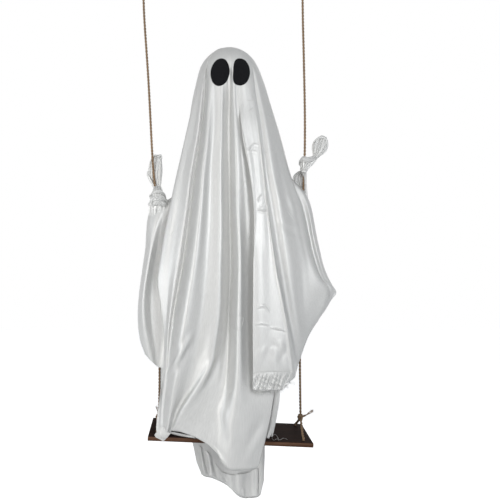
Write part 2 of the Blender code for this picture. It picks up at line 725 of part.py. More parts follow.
def make_eyes(sheet):
    for side, direction in (("left", -1), ("right", 1)):
        eye = add_part(f"{side}_eye", oval_mesh(), "felt")
        eye.location = (direction * EYE_SPACING / 2, -SEAT_DEPTH, CROWN_HEIGHT - EYE_DROP)
        eye.rotation_euler = (0, EYE_LEAN, 0)
        wrap = eye.modifiers.new("on_the_sheet", "SHRINKWRAP")
        wrap.target = sheet
        wrap.wrap_method = "PROJECT"
        wrap.use_project_y = True
        wrap.use_positive_direction = True
        wrap.offset = EYE_THICKNESS + EYE_GAP
        felt = eye.modifiers.new("felt", "SOLIDIFY")
        felt.thickness = EYE_THICKNESS
        felt.offset = -1


make_board()
make_head()
for rope_side in ROPES:
    make_rope(rope_side)
make_eyes(make_sheet())
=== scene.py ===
"""Looks of the swinging ghost decoration: a satin sheet over a ball head, seated on a rope swing.

The seat's own space has the middle of the board's top face as its origin, and SEAT_PLACE moves
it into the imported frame. The ghost faces -Y. Lengths are in metres.
"""

import math

import bpy
import numpy as np
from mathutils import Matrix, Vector, noise
from mathutils.bvhtree import BVHTree


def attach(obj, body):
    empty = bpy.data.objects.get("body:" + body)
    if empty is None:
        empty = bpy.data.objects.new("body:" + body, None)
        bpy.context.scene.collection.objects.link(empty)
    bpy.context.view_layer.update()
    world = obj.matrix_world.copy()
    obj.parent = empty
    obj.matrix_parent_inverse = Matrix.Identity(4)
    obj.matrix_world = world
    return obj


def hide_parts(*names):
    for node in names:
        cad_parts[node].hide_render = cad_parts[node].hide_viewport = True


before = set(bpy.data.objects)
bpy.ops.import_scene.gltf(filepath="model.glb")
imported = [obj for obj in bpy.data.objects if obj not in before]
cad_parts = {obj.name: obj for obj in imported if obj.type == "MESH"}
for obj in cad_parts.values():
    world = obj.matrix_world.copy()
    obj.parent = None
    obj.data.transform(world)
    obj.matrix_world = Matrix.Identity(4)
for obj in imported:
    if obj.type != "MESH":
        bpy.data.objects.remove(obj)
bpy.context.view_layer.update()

# Places in the frame
SEAT_PLACE = Vector((0.01175, 0.0, -0.90705))
SEAT_TILT = math.radians(2.4)
SEAT_THICKNESS = 0.008
HALF_LENGTH = 0.1525
HALF_DEPTH = 0.065
ROPE_X = 0.137
FRONT_HOLE_Y = -0.047
REAR_HOLE_Y = 0.053
CROWN_HEIGHT = 0.7407
HOOD_RADIUS = 0.0521
HOOD_SLACK = 0.0025
SIDE_FLARE = 0.06
CHEEK_FULLNESS = 1.02
HOOD_ANGLES = (0, 20, 38, 56, 75)

# Camera and the photograph's frame
CAMERA_PLACE = (-0.04595, -1.171, -0.56905)
CAMERA_LENS = 43.38
CAMERA_SHIFT = (0.1014, 0.0118)
SENSOR_WIDTH = 36
# The photograph's mapping: the camera's across and up, and its pixel straight ahead
CAMERA_IN_SEAT = (-0.0577, 0.338)
MIDDLE_PIXEL = (199.3, 255.9)
SEAT_FROM_CAMERA = 1.171
FOCAL_PIXELS = 602.5

# Ropes: their strands, hairs, knots, slings, loops and frayed ends
ROPE_DIAMETER = 0.0045
STRAND_RADIUS = 0.00135
STRAND_OFFSET = 0.00108
STRAND_PITCH = 0.0125
SEAT_KNOT_HEIGHT = 0.025
HANGING_KNOT_HEIGHT = 0.852
LOOP_WIDTH = 0.030
LOOP_LENGTH = 0.0456
LOOP_BOTTOM = 0.8592
STRAND_GIRTH = 0.008
FIBRE_TURN = 0.9
HALF_TURNS = (0, math.pi)
LINE_STEP = 0.001
HAIR_LENGTHS = (0.0010, 0.0024)
HAIR_RADII = (0.00007, 0.00003)
ROPE_HAIRS = 260
SHORT_HAIRS = 40
KNOT_HAIRS = 50
KNOT_REACH = 0.003
KNOT_WIDTH = 0.0042
KNOT_STEPS = 90
SEAT_KNOT_RISE = 0.0040
HANGING_KNOT_RISE = 0.0046
UNDER_GAP = 0.0003
LEG_START = 0.0045
LEG_DROP = 0.004
LOOP_STEPS = 48
LOOP_OPENING = math.radians(4)
TAIL_STEP = 0.0008
TAIL_PITCH = 0.03
TAIL_OFFSET = 0.0009
TAIL_RADIUS = 0.00105
TAIL_SIDES = 8
FRAYED_COUNT = 16
FRAYED_LENGTH = 0.006
FRAYED_RADII = (0.00022, 0.00007)

# Each rope's middle line, as (distance past the rope hole, height), from the seat knot up.
LEFT_ROPE = (
    (-0.0005, 0.026), (-0.0015, 0.060), (-0.0020, 0.112), (-0.0005, 0.200), (0.0020, 0.320),
    (0.0055, 0.450), (0.0108, 0.515), (0.0196, 0.680), (0.0275, 0.800), (0.0295, 0.850),
)
RIGHT_ROPE = (
    (0.0020, 0.026), (0.0015, 0.060), (0.0008, 0.167), (0.0025, 0.300), (0.0055, 0.400),
    (0.0078, 0.476), (0.0100, 0.528), (0.0106, 0.602), (0.0085, 0.720), (0.0066, 0.800),
    (0.0060, 0.850),
)
ROPES = {"left": (-1, LEFT_ROPE), "right": (1, RIGHT_ROPE)}
# Each tail's middle line, from the seat knot's middle
TAILS = {
    "left": (
        (-0.0005, 0.0030, 0.002), (-0.0020, 0.0095, 0.006), (-0.0030, 0.0150, 0.0095),
        (-0.0040, 0.0190, 0.0120),
    ),
    "right": (
        (0.003, -0.0015, 0.001), (0.0095, -0.004, 0.0045), (0.015, -0.0055, 0.0085),
        (0.0195, -0.0065, 0.0120),
    ),
}

# Lights: name, place, target, size, power and colour
WHITE = (1, 1, 1)
WARM = (1.0, 0.985, 0.955)
DAYLIGHT = (0.97, 0.985, 1.0)
COOL = (0.92, 0.96, 1.0)
LIGHTS = (
    ("front_left", (-1.2, -1.3, -0.45), (0.0, 0.0, -0.45), (0.4, 0.5), 9.3, WARM),
    ("left", (-1.3, -0.4, -0.60), (0.0, 0.0, -0.60), (0.3, 0.4), 2.9, COOL),
    ("front", (-0.1, -1.25, -0.36), (0.0, 0.0, -0.40), (0.4, 0.4), 2.0, WARM),
    ("front_right", (0.55, -1.05, -0.24), (0.05, 0.0, -0.32), (0.35, 0.35), 4.8, DAYLIGHT),
    ("right", (1.15, -0.9, -0.25), (0.1, 0.0, -0.35), (0.3, 0.3), 1.1, COOL),
    ("behind", (0.6, 1.9, -0.2), (0.0, 0.0, -0.58), (1.4, 1.4), 9, WARM),
)
SKY_COLOUR = (0.50, 0.72, 1.0)
SKY_STRENGTH = 0.06
FLOOR_SIZE = 12
FLOOR_HEIGHT = -1.45
FLOOR_GLOW = 0.92

# The sheet's fold lines round the head, each from the jaw to the hem: across in hundredths of
# HALF_LENGTH, back in hundredths of HALF_DEPTH, up in thousandths of CROWN_HEIGHT.
FOLDS = {
    "left_edge": (
        (-47.2, 4, 858), (-52.3, 8, 786), (-68.9, 8, 619), (-98.8, 0, 582), (-107.5, 0, 467),
        (-115.2, 0, 346), (-116.2, 0, 288), (-113.3, -3, 236), (-107.2, -12, 203),
    ),
    "left_wing_front": (
        (-45.8, -14, 854), (-50.9, -12, 782), (-69.9, -8, 610), (-87.3, -24, 574), (-98.8, -42, 466),
        (-107.2, -48, 349), (-107.3, -46, 292), (-103.6, -40, 235), (-98.2, -34, 186),
    ),
    "left_lobe": (
        (-44.5, -26, 852), (-50.8, -24, 780), (-69.8, -16, 604), (-79.7, -24, 571), (-92.2, -27, 456),
        (-98.4, -30, 340), (-95.9, -30, 270), (-92.1, -30, 216), (-89.6, -30, 170),
    ),
    "left_tuck": (
        (-43.2, -34, 850), (-49.5, -32, 778), (-64.6, -28, 637), (-71.5, -24, 575), (-79.7, -26, 456),
        (-84.6, -28, 337), (-78.8, -34, 273), (-78.8, -38, 215), (-81.8, -40, 166),
    ),
    "left_body_edge": (
        (-45.4, -42, 851), (-53.6, -44, 776), (-65.1, -48, 673), (-73.9, -52, 589), (-86, -55, 456),
        (-89.3, -50, 380), (-78.1, -52, 285), (-78, -54, 219), (-81.5, -55, 164),
    ),
    "left_skirt": (
        (-39.4, -58, 847), (-45, -63, 773), (-54.1, -69, 671), (-60.8, -73, 587), (-71.8, -77, 451),
        (-77.6, -70, 302), (-81.8, -66, 158), (-86.3, -68, 77), (-90.1, -76, 11),
    ),
    "left_lip": (
        (-35.4, -68, 845), (-39.4, -76, 770), (-47.6, -84, 669), (-52.7, -89, 586), (-62, -95, 451),
        (-74.3, -84, 293), (-79.7, -76, 154), (-84.2, -75, 76), (-86.2, -84, 9),
    ),
    "left_valley": (
        (-32.5, -59, 847), (-36.2, -66, 772), (-44, -73, 670), (-48.8, -77, 587), (-57.4, -83, 451),
        (-70.8, -80, 291), (-77.2, -80, 148), (-81.3, -80, 72), (-81.8, -91, 9),
    ),
    "left_ridge": (
        (-25.7, -84, 841), (-27.8, -97, 767), (-33.4, -111, 666), (-36.6, -121, 584), (-43.4, -133, 451),
        (-55.3, -139, 293), (-66.1, -126, 153), (-72, -111, 74), (-77.9, -100, 9),
    ),
    "left_plain": (
        (-19.3, -80, 842), (-20.9, -88, 768), (-23.7, -96, 667), (-25.6, -103, 585), (-29.2, -113, 451),
        (-36.4, -118, 292), (-49.5, -112, 148), (-64.7, -99, 69), (-74.9, -90, 10),
    ),
    "middle_ridge": (
        (-10.5, -84, 841), (-10.9, -92, 767), (-11.7, -99, 667), (-11.8, -105, 585), (-12.4, -115, 451),
        (-15.6, -122, 292), (-32.3, -127, 151), (-56.1, -115, 73), (-70.9, -92, 20),
    ),
    "middle_plain": (
        (-6, -75, 843), (-6.6, -81, 769), (-6.9, -85, 669), (-6.8, -90, 586), (-6.3, -96, 451),
        (-9.4, -104, 290), (-20.3, -115, 149), (-32.2, -116, 73), (-41.8, -110, 8),
    ),
    "middle_valley": (
        (-0.9, -69, 845), (-1, -73, 771), (-1.1, -75, 670), (-0.9, -79, 587), (0.2, -84, 451),
        (-2.6, -91, 289), (-5.9, -110, 148), (-12.1, -126, 75), (-20.4, -127, -17),
    ),
    "front_ridge": (
        (4.2, -91, 840), (5.2, -100, 766), (6.1, -110, 666), (7.1, -120, 584), (9.7, -134, 451),
        (8, -145, 294), (6.2, -152, 155), (2.7, -152, 81), (-2.6, -150, -59),
    ),
    "front_plain": (
        (8.1, -88.2, 840), (11.4, -95, 767), (14.9, -102, 667), (17.1, -108, 585), (19.6, -117, 451),
        (19.3, -128, 292), (19.6, -140, 152), (21.8, -145, 79), (17.4, -146, -60),
    ),
    "pleat_inner": (
        (10.2, -88.6, 841), (18.9, -92, 769), (27.3, -98, 668), (33.2, -104, 586), (38.9, -113, 451),
        (44.7, -121, 290), (51.6, -125, 148), (46.6, -126, 73), (30.8, -134, -61),
    ),
    "pleat_return": (
        (11.6, -88.6, 840), (16.7, -99, 767), (24.9, -108, 666), (30, -117, 584), (32.6, -127, 451),
        (34, -136, 300), (35.1, -137, 213), (35.7, -137, 184), (35.6, -132, 167),
    ),
    "pleat_edge": (
        (13.2, -89.6, 840), (13.1, -106, 765), (21.6, -118, 665), (26.2, -128, 583), (26.1, -142, 451),
        (24.5, -151, 302), (24.5, -152, 225), (24.5, -152, 180), (24.5, -152, 137),
    ),
    "flap": (
        (18.8, -88.6, 840), (23.1, -102, 766), (30.5, -114, 665), (34.2, -123, 583), (37.1, -138, 451),
        (42.6, -146, 302), (44.9, -148, 225), (46.6, -149, 177), (43.6, -149, 132),
    ),
    "flap_side": (
        (29.8, -78, 843), (34.4, -92, 767), (39.2, -105, 666), (43.5, -115, 584), (51.2, -127, 451),
        (64.6, -131, 300), (70.7, -129, 234), (74.4, -126, 195), (74.1, -122, 155),
    ),
    "right_plain": (
        (33.3, -70, 845), (38.3, -84, 770), (43.7, -96, 669), (49.2, -102, 586), (58.6, -107, 451),
        (71.6, -102, 294), (76.8, -98, 233), (79.5, -92, 195), (80.3, -84, 167),
    ),
    "right_bright": (
        (37.7, -72, 844), (43.4, -87, 770), (50.3, -99, 668), (57.3, -106, 585), (67.4, -110, 451),
        (77.7, -100, 306), (82.4, -93, 255), (85.2, -86, 227), (86.1, -78, 204),
    ),
    "right_panel": (
        (45.3, -53, 848), (53.7, -62, 774), (63.8, -71, 671), (72.5, -79, 587), (85, -85, 456),
        (91, -78, 330), (94.1, -69, 291), (95.8, -62, 268), (96.9, -54, 249),
    ),
    "right_body_edge": (
        (51.6, -26, 852), (62.4, -30, 779), (75.3, -38, 674), (85.9, -52, 589), (98.3, -68, 456),
        (110.4, -60, 400), (122.6, -44, 375), (121.1, -42, 341), (113.4, -38, 299),
    ),
    "right_tuck": (
        (49.1, -12, 852), (58, -12, 782), (69.4, -12, 678), (90.6, -22, 591), (104.4, -38, 461),
        (114.4, -38, 402), (122.4, -28, 381), (125.7, -26, 355), (122.6, -26, 324),
    ),
    "right_wing_front": (
        (47.2, 0, 855), (56.2, 2, 784), (67.7, 2, 687), (94.3, -18, 615), (106.7, -40, 492),
        (116.7, -40, 415), (125.7, -26, 383), (131.8, -16, 365), (129.8, -16, 344),
    ),
    "right_edge": (
        (47.7, 12, 858), (56.8, 14, 787), (68.4, 14, 689), (98.5, 0, 616), (112.6, -10, 493),
        (121.7, -12, 417), (129.7, -12, 382), (135.5, -12, 363), (135.2, -12, 356),
    ),
    "right_wing_rear": (
        (50, 22, 849), (60, 26, 773), (73, 25, 672), (89, 18, 618), (101, 31, 527),
        (111, 40, 437), (119, 40, 376), (121, 37, 352), (122, 34, 336),
    ),
    "right_rear_panel": (
        (45, 42, 849), (54, 51, 773), (63, 57, 672), (73, 65, 593), (85, 77, 450),
        (93, 83, 343), (94, 83, 276), (94, 83, 242), (92, 83, 215),
    ),
    "right_rear_valley": (
        (38, 58, 849), (45, 71, 773), (51, 80, 672), (56, 89, 593), (66, 102, 437),
        (72, 115, 269), (72, 125, 165), (70, 128, 115), (67, 130, 78),
    ),
    "right_rear_ridge": (
        (29, 77, 849), (33, 92, 773), (37, 105, 672), (41, 117, 593), (47, 135, 445),
        (52, 148, 276), (56, 149, 128), (56, 146, 54), (54, 142, 5),
    ),
    "rear_side": (
        (22, 83, 849), (25, 98, 773), (28, 111, 672), (31, 123, 593), (37, 135, 445),
        (42, 142, 276), (45, 138, 114), (46, 132, -16), (46, 129, -215),
    ),
    "rear_right_ridge": (
        (14, 92, 849), (17, 109, 773), (20, 123, 672), (22, 135, 593), (26, 151, 445),
        (29, 157, 276), (30, 152, 114), (31, 143, -16), (33, 138, -228),
    ),
    "rear_valley": (
        (5, 83, 849), (7, 94, 773), (7, 103, 672), (9, 112, 593), (10, 125, 445),
        (12, 134, 276), (14, 135, 114), (16, 129, -16), (18, 132, -223),
    ),
    "rear_middle_ridge": (
        (-7, 92, 849), (-7, 108, 773), (-8, 122, 672), (-9, 134, 593), (-9, 151, 445),
        (-9, 158, 276), (-7, 154, 114), (-3, 143, -16), (0, 135, -191),
    ),
    "rear_left_valley": (
        (-17, 83, 849), (-20, 94, 773), (-22, 102, 672), (-25, 109, 593), (-28, 122, 445),
        (-30, 131, 276), (-28, 134, 114), (-22, 129, -16), (-20, 129, -169),
    ),
    "rear_left_ridge": (
        (-27, 74, 849), (-31, 89, 773), (-36, 102, 672), (-41, 114, 593), (-47, 132, 445),
        (-51, 143, 276), (-49, 143, 114), (-38, 132, -16), (-35, 126, -157),
    ),
    "left_rear_valley": (
        (-33, 62, 849), (-39, 71, 773), (-45, 78, 672), (-51, 86, 593), (-60, 95, 445),
        (-67, 105, 276), (-71, 111, 128), (-65, 118, 52), (-60, 121, 14),
    ),
    "left_rear_skirt": (
        (-39, 48, 849), (-45, 55, 773), (-53, 62, 672), (-62, 66, 593), (-71, 71, 445),
        (-79, 74, 285), (-86, 77, 148), (-89, 78, 60), (-88, 77, 16),
    ),
    "left_rear_inner": (
        (-42, 37, 849), (-49, 43, 773), (-62, 42, 612), (-76, 34, 562), (-84, 46, 470),
        (-92, 49, 356), (-92, 46, 262), (-88, 42, 212), (-84, 38, 172),
    ),
    "left_wing_rear": (
        (-45, 20, 849), (-52, 23, 773), (-66, 30, 598), (-87, 14, 566), (-96, 31, 500),
        (-105, 40, 395), (-109, 40, 305), (-104, 34, 222), (-93, 25, 177),
    ),
}

# Creases of the front of the sheet: their places in the photo (x, y), how high each stands in
# millimetres, below nought where it lies in, and its half width in pixels.
CREASES = (
    # between and beside the eyes
    (((231.6, 52), (232.4, 62), (232.8, 76), (233.4, 92), (234.2, 112)), 1.2, 1.9),
    (((229.2, 56), (229.6, 66), (229.6, 80), (229.4, 100)), -0.7, 2.2),
    (((239.8, 88), (239.4, 96), (240.6, 110)), 0.4, 1.6),
    (((222.6, 90), (222.2, 100), (221.8, 116)), 0.4, 1.8),
    (((207.6, 64), (205.4, 80), (203.4, 100)), -0.5, 2.4),
    (((252.6, 66), (254.2, 82), (256.4, 104)), -0.5, 2.4),
    # the step across the right panel
    (((276, 221), (284, 223), (292, 225.5), (300, 227.5)), 1.4, 2.2),
    (((272, 236), (282, 232), (292, 231), (302, 233)), -1.2, 3.2),
    (((284, 190), (289, 199), (295, 212)), 1.2, 2.6),
    (((278, 176), (283, 190), (288, 206)), -1.1, 3.0),
    # beside the flap's far edge
    ((
        (259.5, 128), (262.4, 145), (265, 167), (268.7, 200), (273.7, 240), (278.7, 273),
        (282, 288), (288.7, 323), (294.5, 362),
    ), -1.6, 1.7),
    # soft folds that cross the long ones
    (((193, 332), (187, 343), (180, 357), (172, 371), (167, 377)), 3.2, 2.2),
    (((190, 343), (184, 356), (177, 369), (171, 378)), -2.6, 3.0),
    (((217, 352), (209, 370), (201.7, 382), (190, 399), (180, 413), (172, 427)), 2.4, 2.6),
    (((221, 352), (214, 370), (206, 386), (196, 402), (187, 415)), -2.2, 3.4),
    (((264, 348), (259, 354), (256, 364)), 1.2, 2.0),
    (((276, 345), (272, 352), (272, 362), (275, 370)), 1.5, 1.8),
    (((289, 340), (283, 352), (278, 362), (285, 370)), -1.6, 3.0),
    (((270, 336), (278, 345), (287, 352)), 1.2, 2.4),
    (((243, 455), (249, 444), (256, 432), (262, 420)), -2.2, 3.5),
    (((222, 400), (226, 416), (232, 434), (238, 455)), 1.2, 4.0),
    (((199, 440), (206, 447), (213, 451), (219, 460), (228, 470)), 1.4, 1.6),
    (((206, 440), (214, 446), (222, 455), (232, 466)), -1.2, 2.4),
    (((254, 371.6), (264, 372.4), (280, 373), (294, 371.5)), -2.2, 1.3),
    (((254, 374), (266, 375), (280, 375.5), (293, 374)), 1.2, 1.3),
)
# The same, without a width, where the cloth was folded in its packet: sharp creases
SHARP_CREASES = (
    (((243, 114), (248, 112), (251, 109), (253, 109.5), (257, 112)), 0.99),
    (((250, 112), (253, 107.5), (256, 109)), 0.54),
    (((257, 113.5), (264, 115.5), (269, 116), (274, 118.5)), 1.1),
    (((261, 116), (266, 118.5), (273, 116.5)), -0.54),
    (((247, 152), (250, 147), (254, 144), (259, 145)), 0.99),
    (((248, 152), (252, 150.5), (257, 152)), 0.66),
    (((262, 147.5), (268, 149.5), (274, 150.5), (283, 149)), 1.21),
    (((262, 150), (266, 152), (282, 151.5)), 0.66),
    (((260, 143), (263, 149), (265, 156), (264, 161)), 0.66),
    (((263, 165), (265, 172)), 0.54),
    (((257, 209), (262, 210.5), (268, 210.5)), 1.43),
    (((259, 207), (263, 205), (266, 202)), -0.77),
    (((257, 202), (259, 197), (262, 194)), 0.77),
    (((266, 197), (268, 203), (269, 211)), 0.66),
    (((277, 223.5), (286, 224), (293, 226), (299, 226.5)), 2.21),
    (((283, 192), (287, 199), (291, 205)), -1.1),
    (((286, 210), (291, 216), (295, 222)), 0.88),
    (((255, 324), (261, 323.5), (266, 324.5), (270, 325.5)), 0.88),
    (((270, 327), (276, 328.5), (282, 330), (286, 331)), 1.65),
    (((262, 305), (266, 305.5), (269, 309), (271, 312)), -0.99),
    (((257, 308), (262, 306.5), (266, 307.5)), 0.66),
    (((231, 328.5), (237, 327.8), (243, 328.5)), 1.21),
    (((232, 331), (238, 330), (243, 330.5)), 0.66),
    (((236, 319), (239, 315), (241, 311)), 0.99),
    (((239, 322), (242, 317), (244, 318)), 0.88),
    (((241, 327), (243, 322), (244, 316)), 0.88),
    (((229, 286), (233, 281.5), (236, 278.5)), 0.99),
    (((231, 200), (234, 196.5), (239, 192), (243, 186)), 1.1),
    (((236, 196), (240, 190), (245, 181), (247, 177)), 0.88),
    (((242, 192), (246, 187)), 0.66),
    (((232, 203), (235, 205)), 0.66),
    (((212, 200), (216, 196), (221, 191)), 0.99),
    (((232, 141), (236, 136), (241, 130)), 0.99),
    (((203, 351), (207, 347), (210, 344)), 0.88),
    (((240, 389), (244, 385.5), (249, 383)), 1.1),
    (((225, 398), (232, 392), (238, 390)), 1.1),
    (((176, 196), (179, 199), (183, 203)), 0.66),
    (((169, 238), (172, 233), (176, 230)), 0.77),
)
# The same for the rear of the sheet where it hangs behind the board and shows its inner face
REAR_CREASES = (
    (((202.5, 444), (205.5, 460), (209, 477)), -2.6, 1.6),
    (((207, 447), (210, 462), (213, 478)), 1.8, 1.5),
    (((213, 452), (214, 465), (217, 479)), -1.8, 1.8),
    (((224, 476), (226, 482)), -1.2, 1.5),
    (((247, 471), (245.5, 482), (246, 498)), -2.4, 3.0),
    (((243.6, 488), (243.8, 498)), 1.6, 1.3),
    (((235, 472), (236, 484), (238, 495)), -1.4, 2.2),
    (((256, 468), (256.5, 480), (256, 497)), 1.6, 2.2),
)
# Where one layer of cloth lies on another: the two edges of each upper layer
FLAP_EDGES = (
    (
        (238.6, 100), (241, 122), (245, 141), (249, 166), (252.4, 190), (255, 218), (254.6, 240),
        (253.4, 262), (253.2, 300), (253.2, 373),
    ),
    (
        (254.2, 100), (257.4, 122), (260.6, 145), (263, 167), (266.7, 200), (271.7, 240),
        (276.7, 273), (280, 288), (286.7, 323), (293.2, 372),
    ),
)
STRIP_EDGES = (
    ((253.4, 372.4), (253.2, 381), (253.4, 389.8)),
    ((293.2, 371.4), (288, 379.6), (282.4, 390.4)),
)
REAR_EDGES = (
    ((199.6, 446), (209, 453), (214, 462), (222, 472), (232, 475), (246, 473), (258.5, 468)),
    ((203.8, 474), (212.6, 476.4), (223.8, 481.4), (231.2, 489), (237.6, 494), (247, 497), (257.8, 496)),
)

# The sheet in the looks
CLOTH_THICKNESS = 0.0007
FRONT_COLUMNS = 8
REAR_COLUMNS = 4
FRONT_FOLDS = 26
ROWS_PER_SPAN = (5, 5, 5, 5, 6, 8, 14, 17, 15, 22, 26, 22, 12, 16)

# Creases: the share that is left at each end, and the hollow beside each
CREASE_ENDS = 0.15
HOLLOW_ASIDE = 1.9
HOLLOW_SHARE = 0.6
SHARP_HALF_WIDTH = 0.9
SHARP_FOLDS = [(route, rise, SHARP_HALF_WIDTH) for route, rise in SHARP_CREASES]
# Ripples over the whole cloth: (width across, length down, rise in millimetres, seed)
RIPPLES = ((0.016, 0.20, 0.9, 3.1), (0.009, 0.10, 0.5, 7.7), (0.006, 0.05, 0.22, 12.3))
RIPPLE_RING = 0.16
LEAST_RIPPLE = 0.15
# Where they fade: the cosine between neighbours, the way down from the crown, and how far forward
PLAIN_CLOTH = (0.80, 0.99)
HOOD_HEM = (0.10, 0.19)
FRONT_SIDE = (-0.002, 0.006)
# Upper layers and ridges, and how far behind the ropes the rear pleats begin
LAYER_LIFT = 0.0007
REAR_LIFT = 0.0006
REAR_BEHIND = 0.03
RIDGE_RADIUS = 0.0007
RIDGE_SINK = 0.3
STITCH_ROUTE = ((254.2, 371.8), (264, 372.6), (280, 373), (292.4, 371.6))
STITCH_COUNT = 24
STITCH_RADIUS = 0.0004
# The least distance that a smooth curve counts between two knots
SHORTEST_REACH = 1e-4

# Tied cloth
PLEAT_WANDER = 0.5
TIED_STEPS = 9
TIED_SIDES = 96
THINNEST_TIE = 0.0003
# Each part: name, number of pleats, their depth, and its knots as (x, y, forward, half width,
# half depth), with x and y in the photo's pixels and the rest in millimetres
LEFT_HAND = (
    ("sleeve_top", 13, 0.24, (
        (159.5, 236, -8, 15, 7), (159, 225, 0, 17, 8), (158.9, 216, 6, 18.5, 9),
        (158.9, 209, 8, 19.4, 10),
        (158.4, 203.5, 8, 17.5, 10), (157.6, 198, 7.5, 14, 9.5), (157.5, 194, 7, 11.3, 8.5),
        (157.6, 190, 5, 9.4, 7.5), (157.7, 187, 2, 7, 5),
    )),
    ("high_wrap", 6, 0.22, (
        (165, 198, -3, 3, 3), (162.7, 194, 9, 4, 3.5), (157.8, 191.6, 14.5, 4.2, 3.5),
        (153.2, 193.8, 10, 4, 3.5), (151, 198, -2, 3, 3),
    )),
    ("low_wrap", 7, 0.24, (
        (168.3, 206, -2, 4, 4), (165.3, 201, 10, 5, 4), (159.3, 197.6, 17, 5.4, 4.5),
        (153.2, 200.2, 12.5, 5, 4), (149.8, 205, 1, 4, 4),
    )),
    ("cross_wrap", 6, 0.24, (
        (150.6, 196, 2, 3.5, 3.5), (152.6, 197.2, 12, 4, 3.5), (157.4, 200, 17.5, 4.5, 4),
        (163.6, 204, 15, 4.5, 4), (168, 208.5, 6, 4, 3.5),
    )),
    ("bead", 6, 0.22, (
        (153, 206.5, 14, 2.2, 2), (154.8, 203.6, 18, 4.4, 4), (157.5, 202.4, 19.5, 5.2, 4.6),
        (160.2, 204, 18, 4, 3.4), (162.3, 207.4, 13, 2, 2),
    )),
    ("petal", 8, 0.40, (
        (157.6, 193, -1, 6, 5), (157.5, 188, -6, 7, 5), (156.4, 182, -8, 10.6, 6),
        (155.1, 175.5, -9, 14.2, 6.5), (155.4, 168, -9, 14, 6.5), (156.3, 161, -8.5, 11.6, 5.5),
        (157.2, 157, -8, 8.6, 4.5), (157.4, 154.9, -8, 6.4, 2),
    )),
    ("petal_edge", 4, 0.25, (
        (148, 171.5, -5, 1.6, 1.6), (148.1, 175.2, -4, 2.4, 2), (150.4, 180, -3, 2.6, 2.2),
        (153, 184.6, -1, 2.6, 2.2), (155, 189, 0, 2.4, 2.2),
    )),
    ("petal_rim", 3, 0.2, (
        (153.4, 157, -4, 1.2, 1.2), (155.6, 155.6, -3, 1.8, 1.6), (158.2, 156.6, -3, 1.8, 1.6),
        (160.4, 155.2, -4, 2, 1.8), (162, 159, -6, 1.2, 1.2),
    )),
)
RIGHT_HAND = (
    ("sleeve_top", 5, 0.28, (
        (308.6, 216, 2, 6, 4), (307.3, 206, 3, 4.6, 4), (306.2, 197, 3, 3.4, 3.5),
        (305.8, 188, 2, 2.7, 3),
        (305.5, 180, 3, 2.7, 3), (305, 174, 5, 3.4, 4), (304.8, 169, 6, 4, 5),
    )),
    ("knot", 11, 0.34, (
        (304.3, 175.5, 7, 2.6, 3), (304, 171.8, 8, 5.2, 6), (304.6, 168, 9, 8.6, 7.5),
        (305.6, 164.2, 9, 11.6, 8), (306.3, 161, 8, 12.6, 7), (306.6, 158.6, 6, 11, 4.5),
        (306.8, 157.4, 4, 7.5, 2),
    )),
    ("wrap", 7, 0.24, (
        (300.2, 164.5, 0, 3, 3), (301.6, 161, 13, 4.4, 3.6), (305.4, 159.6, 17.5, 4.6, 4),
        (310, 159.2, 15, 4.8, 4.2), (314.4, 157.6, 8, 4.4, 4),
    )),
    ("tie", 5, 0.2, (
        (301, 168.6, 2, 2.2, 2.2), (302.8, 171.2, 13, 2.8, 2.4), (305.4, 171, 13, 2.8, 2.4),
        (307.6, 168.2, 5, 2.2, 2.2),
    )),
    ("neck", 6, 0.25, (
        (308.4, 166, 4, 4, 4), (311, 163, 7, 5.4, 5), (313.6, 160, 6, 5, 4.6), (315.4, 157, 4, 5, 4.4),
    )),
    ("petal", 11, 0.42, (
        (313.6, 160.6, 4, 4.4, 4), (315.2, 157.6, 4, 5, 5), (316.4, 154.8, 3, 8.6, 6.5),
        (317.8, 151.4, 2, 13, 8), (319.7, 147.2, 1, 15.8, 8), (321.6, 142.6, 0, 13.6, 7),
        (323, 138.8, 0, 9.4, 5), (323.9, 136.2, 0, 5.4, 2.5),
    )),
    ("petal_rim", 4, 0.25, (
        (313.4, 142.6, 2, 1.2, 1.2), (317.6, 138.9, 4, 2.2, 2), (322, 137, 5, 2.6, 2.2),
        (326, 139.2, 4, 2.2, 2), (327.4, 145.4, 2, 1.8, 1.8), (324.6, 150.6, 1, 1.4, 1.4),
    )),
    ("lobe", 9, 0.40, (
        (303, 171.2, -4, 3, 3.5), (300.6, 174.2, -6, 8, 6), (298.7, 178, -8, 11.2, 8),
        (298.3, 182, -8, 11.2, 8), (299.3, 185.6, -8, 9, 6), (300.4, 188.4, -8, 5, 3),
    )),
    ("facet", 2, 0.15, (
        (298.6, 186.5, -9, 7, 3), (299.4, 191, -9, 7.4, 3), (299.7, 197, -9, 4.6, 3),
        (299.3, 204, -9, 1.5, 2),
    )),
)
TRIM = (
    ("left_hem_corner", 9, 0.35, (
        (162.8, 427, 61, 3.5, 1.6), (162.4, 431, 63, 9, 1.8), (162.4, 434.8, 64.6, 15, 1.5),
        (162.9, 437.6, 64.8, 9.5, 1.4), (163.4, 440.8, 64.8, 1.6, 0.8),
    )),
    ("left_hem_roll", 6, 0.25, (
        (169, 432.4, 57, 1.6, 1.6), (175, 433.6, 58, 2.4, 2), (184, 435.4, 61, 2.4, 2),
        (194, 437, 68, 1.6, 1.6),
    )),
    ("lower_right_fold", 3, 0.3, (
        (276.6, 384, 74, 5, 2), (276.6, 396, 73, 6, 2), (275, 408, 71, 6, 2), (272.8, 420, 69, 5.6, 2),
        (270.4, 430, 65, 5, 2), (267.6, 438, 62, 3, 1.5),
    )),
    ("selvage_strip", 3, 0.2, (
        (279, 392, 72, 1.2, 1), (278.2, 404, 71, 1.4, 1), (276.4, 415, 69, 1.4, 1),
        (274, 427, 65, 1.5, 1), (271.6, 436.8, 60, 1.7, 1),
    )),
)
